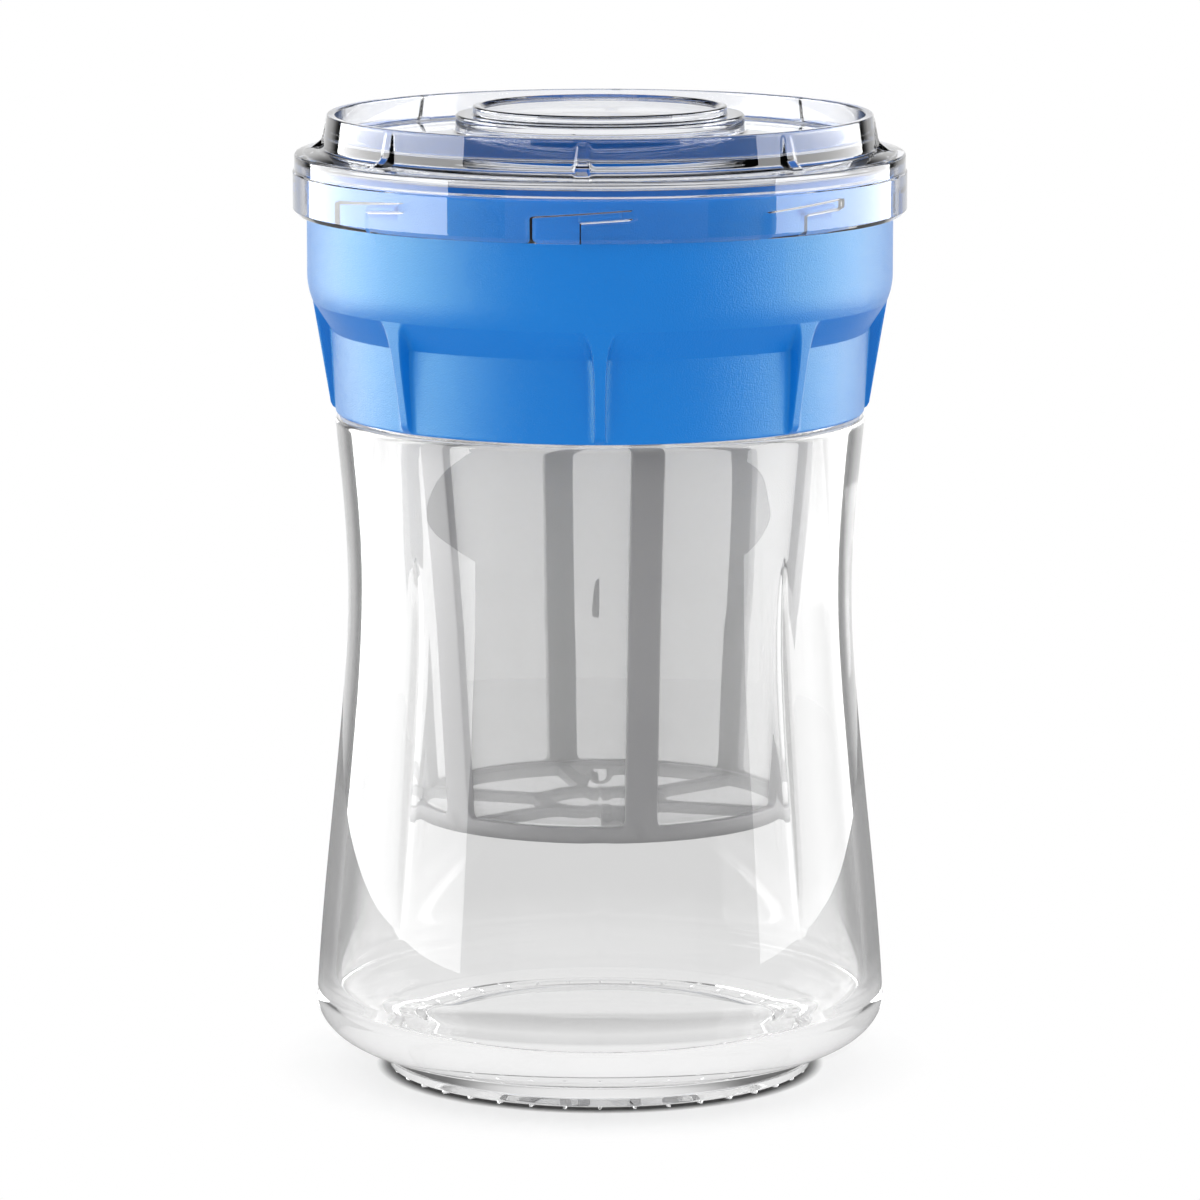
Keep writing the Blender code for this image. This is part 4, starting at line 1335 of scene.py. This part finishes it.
    def build(self) -> bpy.types.Object:
        """Carries the section round, raises the gussets and sinks the grooves.

        In a gusset's columns the line over the gusset takes the place of the plain one. In a
        groove's rows and columns the bore is wider by the groove's depth, and the rows climb with
        the angle at the groove's slope.

        Returns:
            The finished lid.
        """
        plain, fin, on_crown, in_bore = self.sections()
        level = plain[:, 1:]
        start = -self.lug_arc / 2 - self.turn - self.side_play
        mouth = start + self.lug_arc + 2 * self.side_play
        end = self.lug_arc / 2 + self.end_play
        soft = self.groove_edge / self.skirt_bore
        share = np.clip((level - self.flange) / self.crown_height, 0.0, 1.0)
        half = 0.5 * (self.gusset_foot + share * (self.gusset_tip - self.gusset_foot)) / self.gusset_circle
        half = np.maximum(half, self.gusset_least)
        flank = half + self.gusset_flank
        fins, grooves = (key_angles(
            len(plain), -PITCH / 2, start - soft, start + soft, *(middle + step for step in steps),
            end - soft, end + soft, PITCH / 2,
        ) for middle, steps in (
            (self.gusset_turn, (-flank, -half, 0.0, half, flank)),
            (mouth, (-0.03, -soft, 0.0, soft, 0.03)),
        ))
        blend = np.maximum(in_bore, smoothstep(0.0, 3.0, -0.5 - level)) * (level < -0.5)
        angle, offset = around(spread(fins * (1 - blend) + grooves * blend, (8, 1, 8, 1, 2, 2, 1, 7, 1, 13)))
        raised = on_crown * (np.abs(offset - self.gusset_turn) <= half + SLACK)
        radius = plain[:, :1] * (1 - raised) + fin[:, :1] * raised
        height = level * (1 - raised) + fin[:, 1:] * raised
        low, high = self.groove_levels()
        in_slot = (level > low) & (level < high) & (offset > start) & (offset < end)
        in_mouth = (level <= low) & (offset > start) & (offset < mouth - SLACK)
        radius = radius + self.groove_depth * in_bore * (in_slot | in_mouth)
        before, after = (offset + PITCH / 2) / (start + PITCH / 2), (PITCH / 2 - offset) / (PITCH / 2 - end)
        fade = np.clip(np.minimum(before, after), 0.0, 1.0)
        ride = self.slope * (self.skirt_bore + self.groove_depth) * np.clip(offset, start, end) * fade
        near = np.clip(1.0 - np.maximum(low - level, level - high) / self.groove_blend, 0.0, 1.0)
        height = height + ride * in_bore * near + self.seat
        return skin("lid_clear", [shell(polar(radius, angle, height))])

    def dress(self, piece: bpy.types.Object, finish: ClearFinish) -> None:
        """Gives the lid its clear plastic."""
        settle(piece, finish.make(), Body.LID, "clear_lid")


# Studio


def turned_through(tree: Tree, path: bpy.types.bpy_prop_collection) -> Socket:
    """1 for rays that come through a clear piece or were mirrored twice, from Light Path's outputs."""
    twice = tree.math("GREATER_THAN", path["Glossy Depth"], 1.5)
    return tree.math("MAXIMUM", path["Is Transmission Ray"], twice)


@dataclass
class Studio:
    """Pale floor, soft studio lamps, white background and the camera of the photograph.

    Lengths are metres, and the wall's, sky's and rear's edges are parts of a direction's Y or Z.
    """

    elevation: float = math.radians(9.3)
    distance: float = 1.25
    aim: float = 0.08556
    focal_px: float = 6900.0
    frame_px: float = 1200.0
    floor_reach: tuple[float, ...] = (0.0, 0.05, 0.1, 0.16, 0.41)
    floor_fade: tuple[float, float] = (0.0395, 0.062)
    floor_under: tuple[float, float] = (0.0362, 0.0352)
    floor_drop: float = 0.00005
    floor_pale: float = 0.9
    floor_mirrored: float = 0.3
    floor_through: float = 0.9
    # reach, sharpness and colour of the floor's painted contact shadow
    contact_reach: float = 0.0025
    contact_power: float = 2.5
    contact_shade: float = 0.02
    lamp_distance: float = 2.4
    side_rises: tuple[float, float] = (-22.0, 36.0)
    front_rises: tuple[float, float] = (-15.0, -2.0)
    left: float = 6.7
    right: float = 5.4
    front: float = 0.3
    above: float = 1.2
    above_size: float = 1.4
    softness: float = 0.08
    ambient: float = 0.9
    dark: float = 0.03
    wall_sides: tuple[float, float] = (0.78, 0.9)
    wall_foot: tuple[float, float] = (-0.4, -0.3)
    wall_top: tuple[float, float] = (0.26, 0.14)
    sky_foot: tuple[float, float] = (0.3, 0.45)
    rear_start: tuple[float, float] = (-0.6, 0.0)
    turned_loss: float = 0.15
    turned_sky: float = 0.2
    turned_front: float = 0.05

    def camera(self) -> None:
        """Sets the camera where the photograph was taken from."""
        data = bpy.data.cameras.new("camera")
        data.sensor_width = 36.0
        data.lens = self.focal_px / self.frame_px * data.sensor_width
        data.clip_start, data.clip_end = 0.05, 50.0
        camera = bpy.data.objects.new("camera", data)
        camera.location = (
            0.0, -self.distance * math.cos(self.elevation),
            self.aim + self.distance * math.sin(self.elevation),
        )
        camera.rotation_euler = (math.pi / 2 - self.elevation, 0.0, 0.0)
        bpy.context.scene.collection.objects.link(camera)
        bpy.context.scene.camera = camera

    def lamp(
        self, name: str, turns: tuple[float, float], rises: tuple[float, float], radiance: float,
    ) -> None:
        """Adds an upright soft box that fills a window of directions round the object.

        Args:
            name: the lamp's name.
            turns: its two sides, as angles from the front towards +X, in degrees.
            rises: its lower and upper edge, as angles above the horizon, in degrees.
            radiance: its brightness as seen in a mirror, where 1 is white.
        """
        middle = math.radians(0.5 * (turns[1] + turns[0]))
        half = math.radians(0.5 * (turns[1] - turns[0]))
        low, high = (self.lamp_distance * math.tan(math.radians(rise)) for rise in rises)
        width = 2.0 * self.lamp_distance * math.tan(half)
        for part, share in (("sheen", 1.0), ("soft", self.softness)):
            data = bpy.data.lights.new(f"{name} {part}", "AREA")
            data.shape = "RECTANGLE"
            data.size, data.size_y = width, high - low
            data.energy = share * radiance * math.pi * width * (high - low)
            lamp = bpy.data.objects.new(data.name, data)
            lamp.location = (
                self.lamp_distance * math.sin(middle), -self.lamp_distance * math.cos(middle),
                self.aim + 0.5 * (low + high),
            )
            lamp.rotation_euler = (math.pi / 2, 0.0, middle)
            lamp.visible_camera = lamp.visible_transmission = False
            lamp.visible_glossy, lamp.visible_diffuse = part == "sheen", part == "soft"
            bpy.context.scene.collection.objects.link(lamp)

    def lamps(self) -> None:
        """Tall boxes at the left and right, a low weak one in front and a weak one above."""
        self.lamp("left box", (-139.0, -58.0), self.side_rises, self.left)
        self.lamp("right box", (68.0, 139.0), self.side_rises, self.right)
        self.lamp("front box", (-35.0, 40.0), self.front_rises, self.front)
        data = bpy.data.lights.new("top box", "AREA")
        data.size, data.energy = self.above_size, self.above * math.pi * self.above_size ** 2
        lamp = bpy.data.objects.new("top box", data)
        lamp.location = (0.0, 0.0, self.aim + self.lamp_distance)
        lamp.visible_camera = lamp.visible_transmission = False
        bpy.context.scene.collection.objects.link(lamp)

    def world(self) -> None:
        """White where the camera looks past or through the object; dim studio walls elsewhere.

        A mirrored ray sees the white wall behind the object up to 15 degrees above the horizon. A
        ray that was mirrored inside clear pieces keeps most of its light up to 8 and from 27 degrees
        above the horizon, a fifth of it between 15 and 17, and hardly any towards the front.
        """
        world = bpy.data.worlds.new("studio")
        world.use_nodes = True
        world.cycles.sampling_method = "NONE"
        bpy.context.scene.world = world
        tree = Tree(world.node_tree)
        path = tree.add("LightPath").outputs
        way = tree.add("SeparateXYZ", {"Vector": tree.add("TexCoord").outputs["Generated"]}).outputs
        behind, rear = (tree.ramp(way["Y"], *edge) for edge in (self.wall_sides, self.rear_start))
        rising, low, high = (
            tree.ramp(way["Z"], *edge) for edge in (self.wall_foot, self.wall_top, self.sky_foot)
        )
        turned = tree.math("MINIMUM", path["Glossy Depth"], 1.0)
        kept = tree.math("MULTIPLY", tree.math("ADD", low, high), 1.0 - self.turned_loss - self.turned_sky)
        kept = tree.math("MULTIPLY", tree.math("ADD", kept, self.turned_sky),
                         tree.math("MAXIMUM", rear, self.turned_front))
        lost = tree.math("MULTIPLY", turned, tree.math("SUBTRACT", 1.0, kept))
        through = tree.math("MULTIPLY", turned_through(tree, path), tree.math("SUBTRACT", 1.0, lost))
        seen = tree.math("MAXIMUM", path["Is Camera Ray"], through)
        wall = tree.math("MULTIPLY", tree.math("MULTIPLY", behind, rising), low)
        mirrored = tree.mix(wall, (self.dark,) * 3, WHITE)
        unseen = tree.mix(path["Is Glossy Ray"], (self.ambient,) * 3, mirrored)
        background = tree.tree.nodes["Background"]
        tree.fill(background, {"Color": tree.mix(seen, unseen, WHITE), "Strength": 1.0})

    def floor(self) -> None:
        """A pale round floor that fades into the white background away from the object.

        It is white to the camera beyond floor_fade and within floor_under, which lies right under
        the glass, and has a painted contact shadow, from ambient occlusion, where the foot stands
        close to it.
        """
        reach = np.array(self.floor_reach)[:, None] / MM
        piece = skin("floor", [shell(polar(reach, circle(96), np.full_like(reach, -self.floor_drop / MM)))])
        piece.data.flip_normals()
        material, tree, shader, output = blank_material("pale floor")
        place = tree.add("TexCoord").outputs["Object"]
        length = tree.add("VectorMath", {0: place}, operation="LENGTH").outputs["Value"]
        far = tree.ramp(length, *self.floor_fade)
        under = tree.ramp(length, *self.floor_under, "LINEAR")
        path = tree.add("LightPath").outputs
        pale = tree.mix(path["Is Glossy Ray"], (self.floor_pale,) * 3, (self.floor_mirrored,) * 3)
        # painted contact shadow: ambient occlusion darkens the floor's colour where the foot stands close
        shade = tree.add("AmbientOcclusion", {"Distance": self.contact_reach}).outputs["AO"]
        pale = tree.mix(tree.math("POWER", shade, self.contact_power), (self.contact_shade,) * 3, pale)
        tree.fill(shader, {"Roughness": 0.8, "Specular IOR Level": 0.1, "Base Color": pale})
        direct = tree.math("MULTIPLY", tree.math("MAXIMUM", far, under), path["Is Camera Ray"])
        through = tree.math("MULTIPLY", turned_through(tree, path), self.floor_through)
        glow = tree.add("Emission", {"Color": WHITE, "Strength": 1.0})
        mix = tree.add("MixShader", {
            "Fac": tree.math("MAXIMUM", direct, through),
            1: shader.outputs["BSDF"], 2: glow.outputs["Emission"],
        })
        tree.fill(output, {"Surface": mix.outputs["Shader"]})
        piece.data.materials.append(material)

    def build(self) -> None:
        """Sets up camera, lamps, background and floor."""
        bpy.context.scene.view_settings.view_transform = "Standard"
        self.camera()
        self.lamps()
        self.world()
        self.floor()


# The finishes of this object

# The edge colours are painted shade where the clear pieces are seen edge on, and the jar's glass is painted
# paler below its foot heights.
JAR_GLASS = ClearFinish(
    "jar glass", tint=(0.87,) * 3, edge=(0.18,) * 3, edge_shade_start=0.5, edge_shade_end=0.74, ior=1.5, ripple=0.0001,
    sheen=0.6, most_turns=1.5, foot=(10.0, 24.0),
)
LID_PLASTIC = ClearFinish(
    "clear lid plastic", tint=(0.945, 0.955, 0.985), edge=(0.03, 0.05, 0.12), edge_shade_start=0.68, edge_shade_end=0.8,
    ior=1.56, ripple=0.00003, sheen=0.93,
)
SILICONE = ClearFinish(
    "clear silicone", tint=(0.93, 0.94, 0.96), edge=(0.8, 0.82, 0.86), edge_shade_start=0.8, edge_shade_end=1.0,
    ior=1.41, ripple=0.0001,
)
BLUE_PLASTIC = MouldedFinish(
    "blue collar plastic", colour=(0.0, 0.225, 0.8), shade=(0.0, 0.165, 0.65), roughness=0.34, specular=0.64,
    sheen=(0.5, 0.82, 0.28), grain=3600.0, depth=0.00008,
)
GREY_PLASTIC = MouldedFinish(
    "grey strainer plastic", colour=(0.42, 0.418, 0.425), shade=(0.36, 0.36, 0.366), roughness=0.42,
)
GAUZE = GauzeFinish(
    "fine strainer weave", thread=(0.95,) * 3, shade=(0.75,) * 3, pitch_mm=0.16, gap=0.7, cover=0.26,
    gap_cover=0.14,
)


def main() -> None:
    """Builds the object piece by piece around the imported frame, then the studio."""
    logging.basicConfig(level=logging.INFO, format="%(name)s %(message)s")
    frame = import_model()

    jar = Jar()
    jar.dress(jar.build(), JAR_GLASS)

    silicone = SILICONE.make()
    for ring in (
        RingSeal("gasket_ring", "jar_gasket", Body.GASKET, inner=41.4, outer=44.0, seat=134.6),
        RingSeal("lid_seal_ring", "lid_seal", Body.SEAL, inner=49.8, outer=52.6, seat=163.9),
    ):
        ring.dress(ring.build(), silicone)

    collar = Collar()
    collar.dress(collar.build(), BLUE_PLASTIC)

    strainer = Strainer()
    gauzes = {"strainer_wall_mesh": strainer.wall_mesh(), "strainer_floor_mesh": strainer.floor_mesh()}
    strainer.dress(strainer.frame(), gauzes, GREY_PLASTIC, GAUZE)

    lid = Lid()
    lid.dress(lid.build(), LID_PLASTIC)

    Studio().build()


if __name__ == "__main__":
    main()
